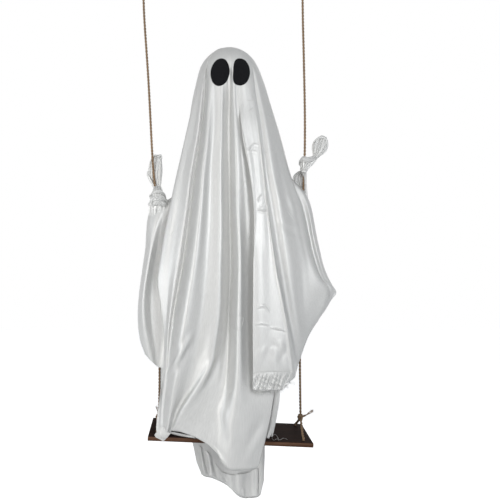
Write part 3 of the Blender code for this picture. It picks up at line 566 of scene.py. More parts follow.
# Threads that lie on the board, as places (x, y) in the photo
LOOSE_THREADS = (
    ((272, 436.5), (275, 434.6), (277.5, 437.5), (280, 440.2), (283.5, 438.4), (287.5, 439.8)),
    ((271.5, 438), (274, 440.6), (277, 439), (279, 441)),
)
THREAD_RADIUS = 0.00025
THREAD_LIFT = 0.0006
FRINGE_RADII = (0.0003, 0.00012)
# Frayed edges: their places (x, y, forward), number of threads, their reach and how far they fall
FRINGES = (
    ((
        (253.5, 389, 99), (261, 390.4, 98), (269, 390.6, 97), (277, 389.6, 93), (284, 386.5, 88),
        (292, 381, 80),
    ), 110, 0.008, 1.0),
    (((266, 378, 99), (272, 384, 99), (281, 386, 93)), 24, 0.007, 0.5),
    (((171, 432, 58), (184, 435.5, 62), (196, 438, 70)), 40, 0.004, 0.4),
    (((155.5, 433, 57), (160, 436.5, 64), (165, 438.5, 67)), 24, 0.004, 0.5),
)

# Eyes
EYE_WIDTH = 0.03535
EYE_HEIGHT = 0.05253
EYE_SPACING = 0.0385
EYE_DROP = 0.0612
EYE_LEAN = math.radians(5)
EYE_THICKNESS = 0.0011
EYE_RINGS = 9
EYE_RING_STEP = 0.05
EYE_START_Y = -0.2


# Lines and grids
def spline(a, b, c, d, share):
    """Points between b and c, at these shares of the way, on the smooth curve that a and d lead."""
    pairs = ((a, b), (b, c), (c, d))
    reach = [np.linalg.norm(far - near, axis=-1, keepdims=True) ** 0.5 for near, far in pairs]
    first, middle, last = [np.maximum(length, SHORTEST_REACH) for length in reach]
    into = middle * ((b - a) / first - (c - a) / (first + middle)) + (c - b)
    away = middle * ((d - c) / last - (d - b) / (middle + last)) + (c - b)
    square, cube = share**2, share**3
    return (
        b
        + into * (share - 2 * square + cube)
        + (c - b) * (3 * square - 2 * cube)
        + away * (cube - square)
    )


def curve_through(knots, steps):
    """Points on a smooth curve through the knots, with that many steps from each to the next."""
    knots = np.array(knots, float)
    padded = np.concatenate([2 * knots[:1] - knots[1:2], knots, 2 * knots[-1:] - knots[-2:-1]])
    if isinstance(steps, int):
        steps = [steps] * (len(knots) - 1)
    found = []
    for span, count in enumerate(steps):
        share = (np.arange(count) / count)[:, None]
        a, b, c, d = (padded[span + near][None] for near in range(4))
        found.append(spline(a, b, c, d, share))
    found.append(knots[-1:])
    return np.concatenate(found)


def distances(line):
    """How far along the line each of its points lies."""
    return np.concatenate([[0], np.linalg.norm(np.diff(line, axis=0), axis=1).cumsum()])


def evenly(points, spacing):
    """The same line with its points this far apart."""
    along = distances(points)
    places = np.linspace(0, along[-1], max(2, int(round(along[-1] / spacing)) + 1))
    return np.array([np.interp(places, along, points[:, axis]) for axis in range(3)]).T


def between(value, low, high):
    """A smooth step from 0 at low to 1 at high."""
    share = np.clip((value - low) / (high - low), 0, 1)
    return share * share * (3 - 2 * share)


def quads(rows, columns, first=0, closed=True):
    """Faces between the rows of a grid of points, which closes round or has two free edges."""
    faces = []
    for row in range(rows - 1):
        low = first + row * columns
        high = low + columns
        for column in range(columns if closed else columns - 1):
            after = (column + 1) % columns
            faces.append((low + column, high + column, high + after, low + after))
    return faces


def tube_faces(rows, around, turned=False):
    """Faces of a tube with closed ends; turned when its rings run the other way round."""
    sides = quads(rows, around)
    start = tuple(range(around))
    end = tuple(range((rows - 1) * around, rows * around))
    if turned:
        return [(a, d, c, b) for a, b, c, d in sides] + [start[::-1], end]
    return sides + [start, end[::-1]]


# Where the photo shows a point
def shown_at(places, depth):
    """The points that show at these pixels of the photo, that many metres behind the ropes."""
    spread = (SEAT_FROM_CAMERA + depth) / FOCAL_PIXELS
    across = CAMERA_IN_SEAT[0] + (places[..., 0] - MIDDLE_PIXEL[0]) * spread
    up = CAMERA_IN_SEAT[1] - (places[..., 1] - MIDDLE_PIXEL[1]) * spread
    return np.stack([across, depth, up], axis=-1)


def from_photo(places):
    """The same for places (x, y, forward), with forward in millimetres before the ropes."""
    places = np.array(places, float)
    return shown_at(places[:, :2], -places[:, 2] / 1000)


def seen_at(points):
    """The pixel of the photo where each point would show."""
    spread = (SEAT_FROM_CAMERA + points[..., 1]) / FOCAL_PIXELS
    x = MIDDLE_PIXEL[0] + (points[..., 0] - CAMERA_IN_SEAT[0]) / spread
    y = MIDDLE_PIXEL[1] - (points[..., 2] - CAMERA_IN_SEAT[1]) / spread
    return np.stack([x, y], axis=-1)


def on_the_board(x, y):
    """The place on the board's top that this pixel of the photo shows."""
    lean = math.tan(SEAT_TILT)
    rise = y - MIDDLE_PIXEL[1] - lean * (x - MIDDLE_PIXEL[0])
    spread = (CAMERA_IN_SEAT[1] + lean * CAMERA_IN_SEAT[0]) / rise
    across = CAMERA_IN_SEAT[0] + (x - MIDDLE_PIXEL[0]) * spread
    return (across, spread * FOCAL_PIXELS - SEAT_FROM_CAMERA, -across * lean + THREAD_LIFT)


# Pieces
def joined(parts):
    """Several parts, each (points, faces, map), as one."""
    points, faces, uvs = [], [], []
    for some_points, some_faces, some_uv in parts:
        start = sum(len(each) for each in points)
        points.append(some_points)
        faces += [tuple(start + corner for corner in face) for face in some_faces]
        uvs.append(some_uv)
    return np.concatenate(points), faces, np.concatenate(uvs)


def new_piece(name, parts, material):
    """A smooth mesh piece from parts in the seat's own space."""
    points, faces, uv = joined(parts)
    mesh = bpy.data.meshes.new(name)
    mesh.from_pydata(in_frame(points), [], faces)
    mesh.polygons.foreach_set("use_smooth", [True] * len(mesh.polygons))
    corners = np.zeros(len(mesh.loops), np.int32)
    mesh.loops.foreach_get("vertex_index", corners)
    layer = mesh.uv_layers.new(name="cloth")
    layer.data.foreach_set("uv", np.asarray(uv, np.float32)[corners].ravel())
    mesh.update()
    piece = bpy.data.objects.new(name, mesh)
    bpy.context.scene.collection.objects.link(piece)
    mesh.materials.append(material)
    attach(piece, "root")
    return piece


def new_satin(name, parts):
    return new_piece(name, parts, SATIN)


def new_jute(name, parts):
    return new_piece(name, parts, JUTE)


def in_frame(line):
    """Points in the seat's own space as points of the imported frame."""
    return (np.asarray(line) + np.array(SEAT_PLACE)).tolist()


def apply_modifiers(piece):
    bpy.ops.object.select_all(action="DESELECT")
    piece.select_set(True)
    bpy.context.view_layer.objects.active = piece
    for modifier in list(piece.modifiers):
        bpy.ops.object.modifier_apply(modifier=modifier.name)


def thicken(piece):
    """Gives a piece the cloth's thickness, on its inner side."""
    wall = piece.modifiers.new("thickness", "SOLIDIFY")
    wall.thickness = CLOTH_THICKNESS
    wall.offset = -1
    apply_modifiers(piece)


# Materials
class Web:
    """The nodes of a material or of the world, and short ways to add to them."""

    def __init__(self, tree):
        self.nodes = tree.nodes
        self.links = tree.links

    def add(self, kind, **values):
        node = self.nodes.new(kind)
        for key, value in values.items():
            if hasattr(node, key):
                setattr(node, key, value)
            else:
                node.inputs[key.replace("_", " ").title()].default_value = value
        return node

    def join(self, source, target):
        self.links.new(source, target)

    def seen_rays(self):
        """One for a ray that looks, also through glass or in a mirror, and nought for the rest."""
        path = self.add("ShaderNodeLightPath")
        seen = path.outputs["Is Camera Ray"]
        for other in ("Is Transmission Ray", "Is Glossy Ray"):
            either = self.add("ShaderNodeMath", operation="MAXIMUM")
            self.join(seen, either.inputs[0])
            self.join(path.outputs[other], either.inputs[1])
            seen = either.outputs["Value"]
        return seen


class Finish(Web):
    """One material, with what goes into its surface."""

    def __init__(self, name, colour, roughness, metallic=0.0, specular=0.5):
        self.made = bpy.data.materials.new(name)
        self.made.use_nodes = True
        super().__init__(self.made.node_tree)
        self.shader = self.nodes["Principled BSDF"]
        self.put("Base Color", (*colour, 1))
        self.put("Roughness", roughness)
        self.put("Metallic", metallic)
        self.put("Specular IOR Level", specular)

    def put(self, name, value):
        self.shader.inputs[name].default_value = value

    def drive(self, name, source):
        self.join(source, self.shader.inputs[name])

    def stretched(self, scale, kind="Object"):
        place = self.add("ShaderNodeTexCoord")
        mapping = self.add("ShaderNodeMapping")
        mapping.inputs["Scale"].default_value = scale
        self.join(place.outputs[kind], mapping.inputs["Vector"])
        return mapping.outputs["Vector"]

    def grain(self, vector, scale, detail, roughness):
        node = self.add("ShaderNodeTexNoise", scale=scale, detail=detail, roughness=roughness)
        self.join(vector, node.inputs["Vector"])
        return node.outputs["Fac"]

    def ramp(self, factor, low, high, start, end):
        node = self.add("ShaderNodeValToRGB")
        for stop, place, colour in zip(node.color_ramp.elements, (start, end), (low, high)):
            stop.position = place
            stop.color = (*colour, 1)
        self.join(factor, node.inputs["Fac"])
        return node.outputs["Color"]

    def spread(self, factor, low, high):
        node = self.add("ShaderNodeMapRange", to_min=low, to_max=high)
        self.join(factor, node.inputs["Value"])
        return node.outputs["Result"]

    def mixed(self, factor, first, second, blend="MIX"):
        node = self.add("ShaderNodeMix", data_type="RGBA", blend_type=blend)
        if isinstance(factor, float):
            node.inputs["Factor"].default_value = factor
        else:
            self.join(factor, node.inputs["Factor"])
        self.join(first, node.inputs["A"])
        self.join(second, node.inputs["B"])
        return node.outputs["Result"]

    def bump(self, height, strength, distance, under=None):
        node = self.add("ShaderNodeBump", strength=strength, distance=distance)
        self.join(height, node.inputs["Height"])
        if under is not None:
            self.join(under, node.inputs["Normal"])
        return node.outputs["Normal"]


def satin():
    web = Finish("white_satin", (0.66, 0.66, 0.645), 0.45, metallic=0.26, specular=0.9)
    web.put("Anisotropic", 0.6)
    web.put("Anisotropic Rotation", 0.25)
    along = web.add("ShaderNodeTangent", direction_type="UV_MAP", uv_map="cloth")
    web.drive("Tangent", along.outputs["Tangent"])
    slub = web.grain(web.stretched((900, 90, 1), "UV"), 1.0, 4.0, 0.6)
    thread = web.grain(web.stretched((4200, 900, 1), "UV"), 1.0, 2.0, 0.5)
    web.drive("Base Color", web.ramp(slub, (0.62, 0.62, 0.608), (0.70, 0.70, 0.688), 0.3, 0.7))
    coarse = web.bump(slub, 0.25, 0.0002)
    web.drive("Normal", web.bump(thread, 0.35, 0.00008, coarse))
    return web.made


def felt():
    web = Finish("black_felt", (0.006, 0.006, 0.007), 0.95, specular=0.15)
    web.put("Sheen Weight", 0.04)
    fibre = web.grain(web.stretched((1, 1, 1)), 900.0, 5.0, 0.7)
    web.drive("Base Color", web.ramp(fibre, (0.004, 0.004, 0.005), (0.014, 0.014, 0.016), 0.35, 0.7))
    web.drive("Normal", web.bump(fibre, 0.8, 0.0004))
    return web.made


def jute():
    web = Finish("jute", (0.36, 0.24, 0.14), 0.85, specular=0.2)
    fibre = web.grain(web.stretched((2600, 260, 1), "UV"), 1.0, 4.0, 0.65)
    patch = web.grain(web.stretched((1, 1, 1)), 90.0, 3.0, 0.6)
    tint = web.ramp(fibre, (0.20, 0.12, 0.07), (0.56, 0.40, 0.26), 0.3, 0.72)
    shade = web.ramp(patch, (0.7, 0.68, 0.66), (1.0, 1.0, 1.0), 0.35, 0.65)
    web.drive("Base Color", web.mixed(0.5, tint, shade, "MULTIPLY"))
    web.drive("Normal", web.bump(fibre, 0.9, 0.0004))
    return web.made


def stained_wood():
    """Dark stain on the flat faces and warmer wood where the edges were cut."""
    web = Finish("stained_wood", (0.060, 0.036, 0.028), 0.5, specular=0.01)
    rings = web.grain(web.stretched((5, 60, 160)), 1.0, 5.0, 0.6)
    pores = web.grain(web.stretched((40, 900, 1400)), 1.0, 3.0, 0.6)
    dark = web.ramp(rings, (0.016, 0.0090, 0.0075), (0.044, 0.025, 0.020), 0.3, 0.7)
    warm = web.ramp(rings, (0.060, 0.029, 0.018), (0.20, 0.108, 0.070), 0.28, 0.68)
    facing = web.add("ShaderNodeNewGeometry")
    split = web.add("ShaderNodeSeparateXYZ")
    web.join(facing.outputs["Normal"], split.inputs["Vector"])
    level = web.add("ShaderNodeMath", operation="ABSOLUTE")
    web.join(split.outputs["Z"], level.inputs[0])
    edge = web.add("ShaderNodeMapRange", from_min=0.35, from_max=0.75, to_min=1.0, to_max=0.0)
    web.join(level.outputs["Value"], edge.inputs["Value"])
    web.drive("Base Color", web.mixed(edge.outputs["Result"], dark, warm))
    web.drive("Roughness", web.spread(rings, 0.58, 0.78))
    under = web.bump(rings, 0.15, 0.0006)
    web.drive("Normal", web.bump(pores, 0.35, 0.0002, under))
    return web.made


def dowel_wood():
    web = Finish("bare_wood", (0.62, 0.45, 0.28), 0.6)
    grain = web.grain(web.stretched((260, 260, 9)), 1.0, 4.0, 0.55)
    web.drive("Base Color", web.ramp(grain, (0.50, 0.34, 0.19), (0.68, 0.50, 0.32), 0.3, 0.7))
    web.drive("Normal", web.bump(grain, 0.25, 0.0003))
    return web.made


def foam():
    web = Finish("foam", (0.82, 0.82, 0.80), 0.8)
    beads = web.add("ShaderNodeTexVoronoi", scale=330.0)
    web.join(web.stretched((1, 1, 1)), beads.inputs["Vector"])
    depth = beads.outputs["Distance"]
    web.drive("Base Color", web.ramp(depth, (0.86, 0.86, 0.84), (0.74, 0.74, 0.72), 0.2, 0.8))
    web.drive("Normal", web.bump(depth, 0.5, -0.0008))
    return web.made


def zinc():
    web = Finish("screw_steel", (0.62, 0.62, 0.60), 0.35, metallic=1.0)
    marks = web.grain(web.stretched((1, 1, 1)), 1500.0, 3.0, 0.6)
    web.drive("Roughness", web.spread(marks, 0.25, 0.5))
    return web.made


SATIN = satin()
FELT = felt()
JUTE = jute()


# Camera, lights and backdrop
def make_camera():
    lens = bpy.data.cameras.new("camera")
    lens.lens = CAMERA_LENS
    lens.sensor_width = SENSOR_WIDTH
    lens.shift_x, lens.shift_y = CAMERA_SHIFT
    camera = bpy.data.objects.new("camera", lens)
    bpy.context.scene.collection.objects.link(camera)
    camera.location = CAMERA_PLACE
    camera.rotation_euler = (math.pi / 2, 0, 0)
    bpy.context.scene.camera = camera


def soft_light(name, place, target, size, power, colour):
    lamp = bpy.data.lights.new(name, "AREA")
    lamp.shape = "RECTANGLE"
    lamp.size, lamp.size_y = size
    lamp.energy = power
    lamp.color = colour
    light = bpy.data.objects.new(name, lamp)
    bpy.context.scene.collection.objects.link(light)
    light.location = place
    light.rotation_euler = (Vector(target) - Vector(place)).to_track_quat("-Z", "Y").to_euler()


def white_to_camera(tree):
    """World nodes: plain white where it is seen, and a faint even light everywhere else."""
    tree.nodes.clear()
    web = Web(tree)
    mixed = web.add("ShaderNodeMixShader")
    web.join(web.seen_rays(), mixed.inputs["Fac"])
    for place, colour, strength in ((1, SKY_COLOUR, SKY_STRENGTH), (2, WHITE, 1.0)):
        plain = web.add("ShaderNodeBackground")
        plain.inputs["Color"].default_value = (*colour, 1)
        plain.inputs["Strength"].default_value = strength
        web.join(plain.outputs["Background"], mixed.inputs[place])
    out = web.add("ShaderNodeOutputWorld")
    web.join(mixed.outputs["Shader"], out.inputs["Surface"])


def make_floor():
    bpy.ops.object.select_all(action="DESELECT")
    bpy.ops.mesh.primitive_plane_add(size=FLOOR_SIZE, location=(0, 0, FLOOR_HEIGHT))
    floor = bpy.context.active_object
    floor.name = "floor"
    web = Finish("pale_floor", (0.9, 0.9, 0.9), 0.8)
    web.put("Emission Color", (*WHITE, 1))
    glow = web.add("ShaderNodeMath", operation="MULTIPLY")
    glow.inputs[1].default_value = FLOOR_GLOW
    web.join(web.seen_rays(), glow.inputs[0])
    web.drive("Emission Strength", glow.outputs["Value"])
    floor.data.materials.append(web.made)


def make_surroundings():
    scene = bpy.context.scene
    scene.view_settings.view_transform = "Standard"
    scene.world = scene.world or bpy.data.worlds.new("studio")
    scene.world.use_nodes = True
    white_to_camera(scene.world.node_tree)
    for light in LIGHTS:
        soft_light(*light)
    make_floor()


# Strands and ropes
def crossways(line):
    """Two directions square to the line and to each other at each point, without any turning."""
    ahead = np.gradient(line, axis=0)
    ahead /= np.linalg.norm(ahead, axis=1, keepdims=True)
    start = Vector(ahead[0]).orthogonal().normalized()
    first = [np.array(start)]
    for here in ahead[1:]:
        carried = first[-1] - here * np.dot(first[-1], here)
        first.append(carried / np.linalg.norm(carried))
    first = np.array(first)
    return ahead, first, np.cross(ahead, first)


def strand(line, radius, turn, around, uv_start=0.0):
    """One round strand along a line: points, faces and map, with both ends closed."""
    _, first, second = crossways(line)
    along = distances(line)[:, None]
    angles = np.linspace(0, 2 * math.pi, around, endpoint=False)
    radii = np.broadcast_to(radius, (len(line),))
    ring = (
        np.cos(angles)[None, :, None] * first[:, None]
        + np.sin(angles)[None, :, None] * second[:, None]
    )
    points = (line[:, None] + ring * radii[:, None, None]).reshape(-1, 3)
    twist = angles[None] / (2 * math.pi) * STRAND_GIRTH + along * turn
    uv = np.stack([twist + uv_start, np.broadcast_to(along, twist.shape)], axis=-1)
    return points, tube_faces(len(line), around, turned=True), uv.reshape(-1, 2)


def tapered(places, steps, radii, turn, around):
    """A single hair or thread through these places, thinner towards its tip."""
    line = curve_through(places, steps)
    return strand(line, np.linspace(*radii, len(line)), turn, around)


def windings(line, pitch, offset, phase=0.0):
    """The middle lines of two strands that wind round each other along the line."""
    _, first, second = crossways(line)
    lines = []
    for half in HALF_TURNS:
        angle = 2 * math.pi * distances(line) / pitch + phase + half
        aside = np.cos(angle)[:, None] * first + np.sin(angle)[:, None] * second
        lines.append(line + aside * offset)
    return lines


def twisted(line, phase=0.0):
    """The two strands of a jute rope."""
    pairs = zip(windings(line, STRAND_PITCH, STRAND_OFFSET, phase), HALF_TURNS)
    return [strand(middle, STRAND_RADIUS, FIBRE_TURN, 10, half) for middle, half in pairs]


def hairs(line, count, rng, reach=ROPE_DIAMETER / 2):
    """Short loose fibres that stand out of a rope."""
    ahead, first, second = crossways(line)
    parts = []
    for _ in range(count):
        at = rng.integers(2, len(line) - 2)
        angle = rng.uniform(0, 2 * math.pi)
        out = math.cos(angle) * first[at] + math.sin(angle) * second[at]
        lean = ahead[at] * rng.uniform(-1.5, 1.5)
        length = rng.uniform(*HAIR_LENGTHS)
        root = line[at] + out * reach * 0.6
        middle = root + (out + lean * 0.4) / 1.3 * length * 0.7
        tip = root + (out * 0.7 + lean) / 1.4 * length * 1.2
        parts.append(tapered([root, middle, tip], 2, HAIR_RADII, 0.0, 3))
    return parts


# Tied cloth
def pleats(angle, along, count, rng):
    """Gathers round and along a piece of tied cloth: round ridges with sharp valleys between."""
    phase = rng.uniform(0, 2 * math.pi, 4)
    drift = PLEAT_WANDER * np.sin(along * 5 + phase[0] + 2 * np.sin(angle + phase[1]))
    coarse = np.abs(np.sin(angle * count / 2 + drift + phase[2]))
    fine = np.abs(np.sin(angle * (count - 1) + 1.7 * drift + phase[3]))
    return 0.7 * coarse + 0.3 * fine


def gathered(knots, count, depth, rng):
    """Tied cloth along a line: each knot is (x, y, forward, half width, half depth) in the photo."""
    knots = np.array(knots, float)
    shape = curve_through(np.hstack([from_photo(knots[:, :3]), knots[:, 3:] / 1000]), TIED_STEPS)
    line, sizes = shape[:, :3], np.maximum(shape[:, 3:], THINNEST_TIE)
    ahead = np.gradient(line, axis=0)
    ahead /= np.linalg.norm(ahead, axis=1, keepdims=True)
    wide = np.cross(ahead, (0.0, 1.0, 0.0))
    wide /= np.linalg.norm(wide, axis=1, keepdims=True)
    thick = np.cross(wide, ahead)
    angle = np.linspace(0, 2 * math.pi, TIED_SIDES, endpoint=False)[None]
    along = np.linspace(0, 1, len(line))[:, None]
    hollow = depth * (1 - pleats(angle, along, count, rng))
    across = (np.cos(angle) * (1 - 0.5 * hollow) * sizes[:, :1])[..., None] * wide[:, None]
    through = (np.sin(angle) * (1 - 1.7 * hollow) * sizes[:, 1:])[..., None] * thick[:, None]
    points = (line[:, None] + across + through).reshape(-1, 3)
    girth = np.broadcast_to(angle * sizes.mean(), (len(line), TIED_SIDES))
    length = np.broadcast_to(distances(line)[:, None], girth.shape)
    uv = np.stack([girth, length], axis=-1).reshape(-1, 2)
    return points, tube_faces(len(line), TIED_SIDES), uv


def fringe(edge, count, rng, reach, fall):
    """Loose threads along an edge of the cloth: each leaves it, bends and hangs down."""
    parts = []
    line = curve_through(from_photo(edge), 8)
    for _ in range(count):
        root = line[rng.integers(0, len(line))] + rng.normal(size=3) * 0.0005
        way = np.array([rng.normal() * 0.7, -0.3 * rng.random(), -fall * rng.uniform(0.3, 1.2)])
        length = reach * rng.uniform(0.35, 1.1)
        bend = rng.normal(size=3) * length * 0.22
        middle = root + way * length * 0.5 + bend
        tip = root + way * length + rng.normal(size=3) * length * 0.18
        parts.append(tapered([root, middle, tip], 4, FRINGE_RADII, 0.0, 4))
    return parts


def make_trim():
    """Rolled hems, the narrow strip, loose threads and the frayed edge of the flap."""
    rng = np.random.default_rng(8)
    parts = [gathered(knots, count, depth, rng) for _, count, depth, knots in TRIM]
    for places in LOOSE_THREADS:
        thread = curve_through([on_the_board(*place) for place in places], 6)
        parts.append(strand(thread, THREAD_RADIUS, 0.0, 5))
    for edge, count, reach, fall in FRINGES:
        parts += fringe(edge, count, rng, reach, fall)
    return new_satin("hem_trim", parts)


def make_hands():
    rng = np.random.default_rng(5)
    made = []
    for side, shapes in (("left", LEFT_HAND), ("right", RIGHT_HAND)):
        parts = [gathered(knots, count, depth, rng) for _, count, depth, knots in shapes]
        made.append(new_satin(f"{side}_hand_cloth", parts))
    return made


# Ropes and their knots
def rope_points(side):
    direction, offsets = ROPES[side]
    return [(direction * (ROPE_X + out), 0.0, up) for out, up in offsets]


def rope_at(side, height):
    route = np.array(rope_points(side))
    return Vector((float(np.interp(height, route[:, 2], route[:, 0])), 0.0, height))


def overhand(middle, size, turn):
    """The line of a simple knot about a point, as wide and as high as given."""
    t = np.linspace(0, 2 * math.pi, KNOT_STEPS)
    across = (np.sin(t) + 2 * np.sin(2 * t)) / 3
    back = (np.cos(t) - 2 * np.cos(2 * t)) / 3
    up = -np.sin(3 * t)
    width, height = size
    x = across * math.cos(turn) - back * math.sin(turn)
    y = across * math.sin(turn) + back * math.cos(turn)
    return np.stack([x * width, y * width, up * height], axis=1) + np.array(middle)


def board_point(x, y, z):
    """A place on the tilted board in the seat's own space."""
    cosine, sine = math.cos(SEAT_TILT), math.sin(SEAT_TILT)
    return (x * cosine + z * sine, y, z * cosine - x * sine)


def sling_points(side, knot):
    """From the knot through the front hole, under the board and up through the rear hole."""
    direction, _ = ROPES[side]
    x = direction * ROPE_X
    turn = ROPE_DIAMETER
    under = -SEAT_THICKNESS - ROPE_DIAMETER / 2 - UNDER_GAP

    def leg(y, inward):
        places = (
            (x, y + inward * turn * 1.6, turn * 1.1),
            (x, y + inward * turn * 0.45, turn * 0.75),
            (x, y, 0),
            (x, y, -SEAT_THICKNESS * 0.75),
            (x, y + inward * turn * 0.25, under + turn * 0.22),
            (x, y + inward * turn * 0.9, under),
        )
        start = knot + Vector((0, -inward * LEG_START, -LEG_DROP))
        return [tuple(start)] + [board_point(*place) for place in places]

    return leg(FRONT_HOLE_Y, 1) + leg(REAR_HOLE_Y, -1)[::-1]


def loop_points(x):
    """An open ring over the hanging knot, with both ends in the knot."""
    share = np.linspace(0, 1, LOOP_STEPS)
    angle = -math.pi / 2 + LOOP_OPENING + (2 * math.pi - 2 * LOOP_OPENING) * share
    across = LOOP_WIDTH / 2 * np.cos(angle)
    up = LOOP_BOTTOM + ROPE_DIAMETER / 2 + LOOP_LENGTH / 2 * (1 + np.sin(angle))
    return np.stack([x + across, np.zeros(LOOP_STEPS), up], axis=1)


def frayed_end(start, outward, rng):
    """Loose fibres that spread from a cut rope end."""
    parts = []
    outward = Vector(outward).normalized()
    for _ in range(FRAYED_COUNT):
        aside = Vector(rng.normal(size=3)).normalized() * rng.uniform(0.1, 0.55)
        lean = (outward + aside).normalized()
        root = Vector(start) + aside * 0.0014
        bend = Vector(rng.normal(size=3)) * 0.0006
        reach = FRAYED_LENGTH * rng.uniform(0.5, 1.1)
        places = [root, root + lean * reach * 0.5 + bend, root + lean * reach]
        parts.append(tapered(places, 3, FRAYED_RADII, 0.5, 4))
    return parts


def make_tail(side, knot, rng):
    """The rope's cut end beside the seat knot: two loose strands, each with a frayed tip."""
    line = evenly(curve_through([knot + Vector(place) for place in TAILS[side]], 6), TAIL_STEP)
    spread = np.linspace(0.9, 1.5, len(line))
    parts = []
    for middle in windings(line, TAIL_PITCH, (TAIL_OFFSET * spread)[:, None]):
        parts.append(strand(middle, TAIL_RADIUS / spread**0.5, FIBRE_TURN, TAIL_SIDES))
        last_ring = parts[-1][0][-TAIL_SIDES:]
        parts += frayed_end(last_ring.mean(axis=0), line[-1] - line[-4], rng)
    piece = new_jute(f"{side}_frayed_tail", parts)
    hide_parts(f"{side}_rope_tail")
    return piece


def make_knot(side, name, middle, rise, turn, rng):
    line = overhand(middle, (KNOT_WIDTH, rise), turn)
    parts = twisted(line) + hairs(line, KNOT_HAIRS, rng, KNOT_REACH)
    piece = new_jute(f"{side}_{name}_tie", parts)
    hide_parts(f"{side}_{name}_knot")
    return piece


def make_run(side, name, node, points, phase, hair_count, rng):
    """One run of rope and its middle line."""
    line = evenly(points, LINE_STEP)
    piece = new_jute(f"{side}_{name}", twisted(line, phase) + hairs(line, hair_count, rng))
    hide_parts(f"{side}_{node}")
    return piece, line


def length_of(line):
    return float(distances(line)[-1])


def make_cords():
    """Both ropes with the pieces that are tied in them."""
    rng = np.random.default_rng(11)
    for side in ROPES:
        knot = rope_at(side, SEAT_KNOT_HEIGHT)
        top = rope_at(side, HANGING_KNOT_HEIGHT)
        route = curve_through(rope_points(side), 12)
        rope, line = make_run(side, "jute_rope", "rope", route, 0.4, ROPE_HAIRS, rng)
        seat_tie = make_knot(side, "seat", knot, SEAT_KNOT_RISE, 0.4, rng)
        tail = make_tail(side, knot, rng)
        route = curve_through(sling_points(side, knot), 8)
        sling = make_run(side, "jute_sling", "sling", route, 1.0, SHORT_HAIRS, rng)
        hanging_tie = make_knot(side, "hanging", top, HANGING_KNOT_RISE, 1.2, rng)
        route = loop_points(top.x)
        loop = make_run(side, "jute_loop", "hanging_loop", route, 2.0, SHORT_HAIRS, rng)
        length_of(line)
        for piece, route in (sling, loop):
            length_of(route)


# Sheet
def fold_line(stations):
    """A fold line's knots from the crown to the hem, in the seat's own space."""
    jaw_across, jaw_back, _ = stations[0]
    bearing = math.atan2(jaw_back * HALF_DEPTH, jaw_across * HALF_LENGTH)
    line = []
    for degrees in HOOD_ANGLES:
        angle = math.radians(degrees)
        lowness = degrees / HOOD_ANGLES[-1]
        flare = 1 + SIDE_FLARE * (math.cos(bearing) * lowness) ** 2
        reach = (HOOD_RADIUS + HOOD_SLACK * lowness) * math.sin(angle) * flare
        height = CROWN_HEIGHT - HOOD_RADIUS * (1 - math.cos(angle))
        line.append((reach * math.cos(bearing), reach * math.sin(bearing), height))
    below = [
        (across / 100 * HALF_LENGTH, back / 100 * HALF_DEPTH, up / 1000 * CROWN_HEIGHT)
        for across, back, up in stations
    ]
    cheek = (Vector(line[-1]) + Vector(below[0])) / 2
    line.append((cheek.x * CHEEK_FULLNESS, cheek.y * CHEEK_FULLNESS, cheek.z))
    return line + below


def sheet_grid():
    """The sheet's outer face as points by row from the crown down, and by column round it."""
    lines = [curve_through(fold_line(stations), ROWS_PER_SPAN) for stations in FOLDS.values()]
    count = len(lines)
    columns = []
    for index in range(count):
        a, b, c, d = (lines[(index + near) % count] for near in (-1, 0, 1, 2))
        steps = FRONT_COLUMNS if index < FRONT_FOLDS else REAR_COLUMNS
        for step in range(steps):
            column = spline(a, b, c, d, step / steps)
            low, high = np.minimum(b, c)[:, 2], np.maximum(b, c)[:, 2]
            column[:, 2] = column[:, 2].clip(low, high)
            column[0] = lines[0][0]
            columns.append(column)
    return np.array(columns).transpose(1, 0, 2)


def grid_normals(grid):
    """The outward direction at each point of the sheet's grid."""
    round_it = np.roll(grid, -1, axis=1) - np.roll(grid, 1, axis=1)
    out = np.cross(np.gradient(grid, axis=0), round_it)
    out = out / np.maximum(np.linalg.norm(out, axis=2, keepdims=True), 1e-12)
    out[0] = (0, 0, 1)
    return out


def beside(places, route):
    """How far each place lies to one side of the route, and how far along it, as a share."""
    route = np.array(route, float)
    starts = distances(route)
    nearest = np.full(places.shape[:-1], np.inf)
    aside, along = np.zeros_like(nearest), np.zeros_like(nearest)
    for start, end, before in zip(route, route[1:], starts):
        length = np.linalg.norm(end - start)
        way = (end - start) / length
        off = places - start
        reach = np.clip(off @ way, 0, length)
        gap = off - reach[..., None] * way
        distance = np.linalg.norm(gap, axis=-1)
        closer = distance < nearest
        turn = np.sign(way[0] * gap[..., 1] - way[1] * gap[..., 0])
        nearest = np.where(closer, distance, nearest)
        aside = np.where(closer, distance * np.where(turn == 0, 1, turn), aside)
        along = np.where(closer, (before + reach) / starts[-1], along)
    return aside, along


def crease_relief(places, creases):
    """The height of these creases at each place, in metres: a ridge with a hollow at one side."""
    height = np.zeros(places.shape[:-1])
    for route, rise, width in creases:
        aside, along = beside(places, route)
        ends = np.clip(4 * along * (1 - along) + CREASE_ENDS, 0, 1)
        top = np.exp(-((aside / width) ** 2))
        hollow = np.exp(-(((aside - HOLLOW_ASIDE * width) / width) ** 2))
        height += rise / 1000 * ends * (top - HOLLOW_SHARE * hollow)
    return height


def ripples(across, down):
    """Small uneven ripples over the whole cloth, in metres, that meet round the sheet."""
    turn = across / across.max() * 2 * math.pi
    ring = RIPPLE_RING * np.stack([np.cos(turn), np.sin(turn)])
    height = np.zeros(across.shape)
    for wide, long, rise, seed in RIPPLES:
        waves = np.empty(across.shape)
        for at in np.ndindex(across.shape):
            waves[at] = noise.noise((ring[0][at] / wide, ring[1][at] / wide, down[at] / long + seed))
        height += rise / 1000 * waves
    return height


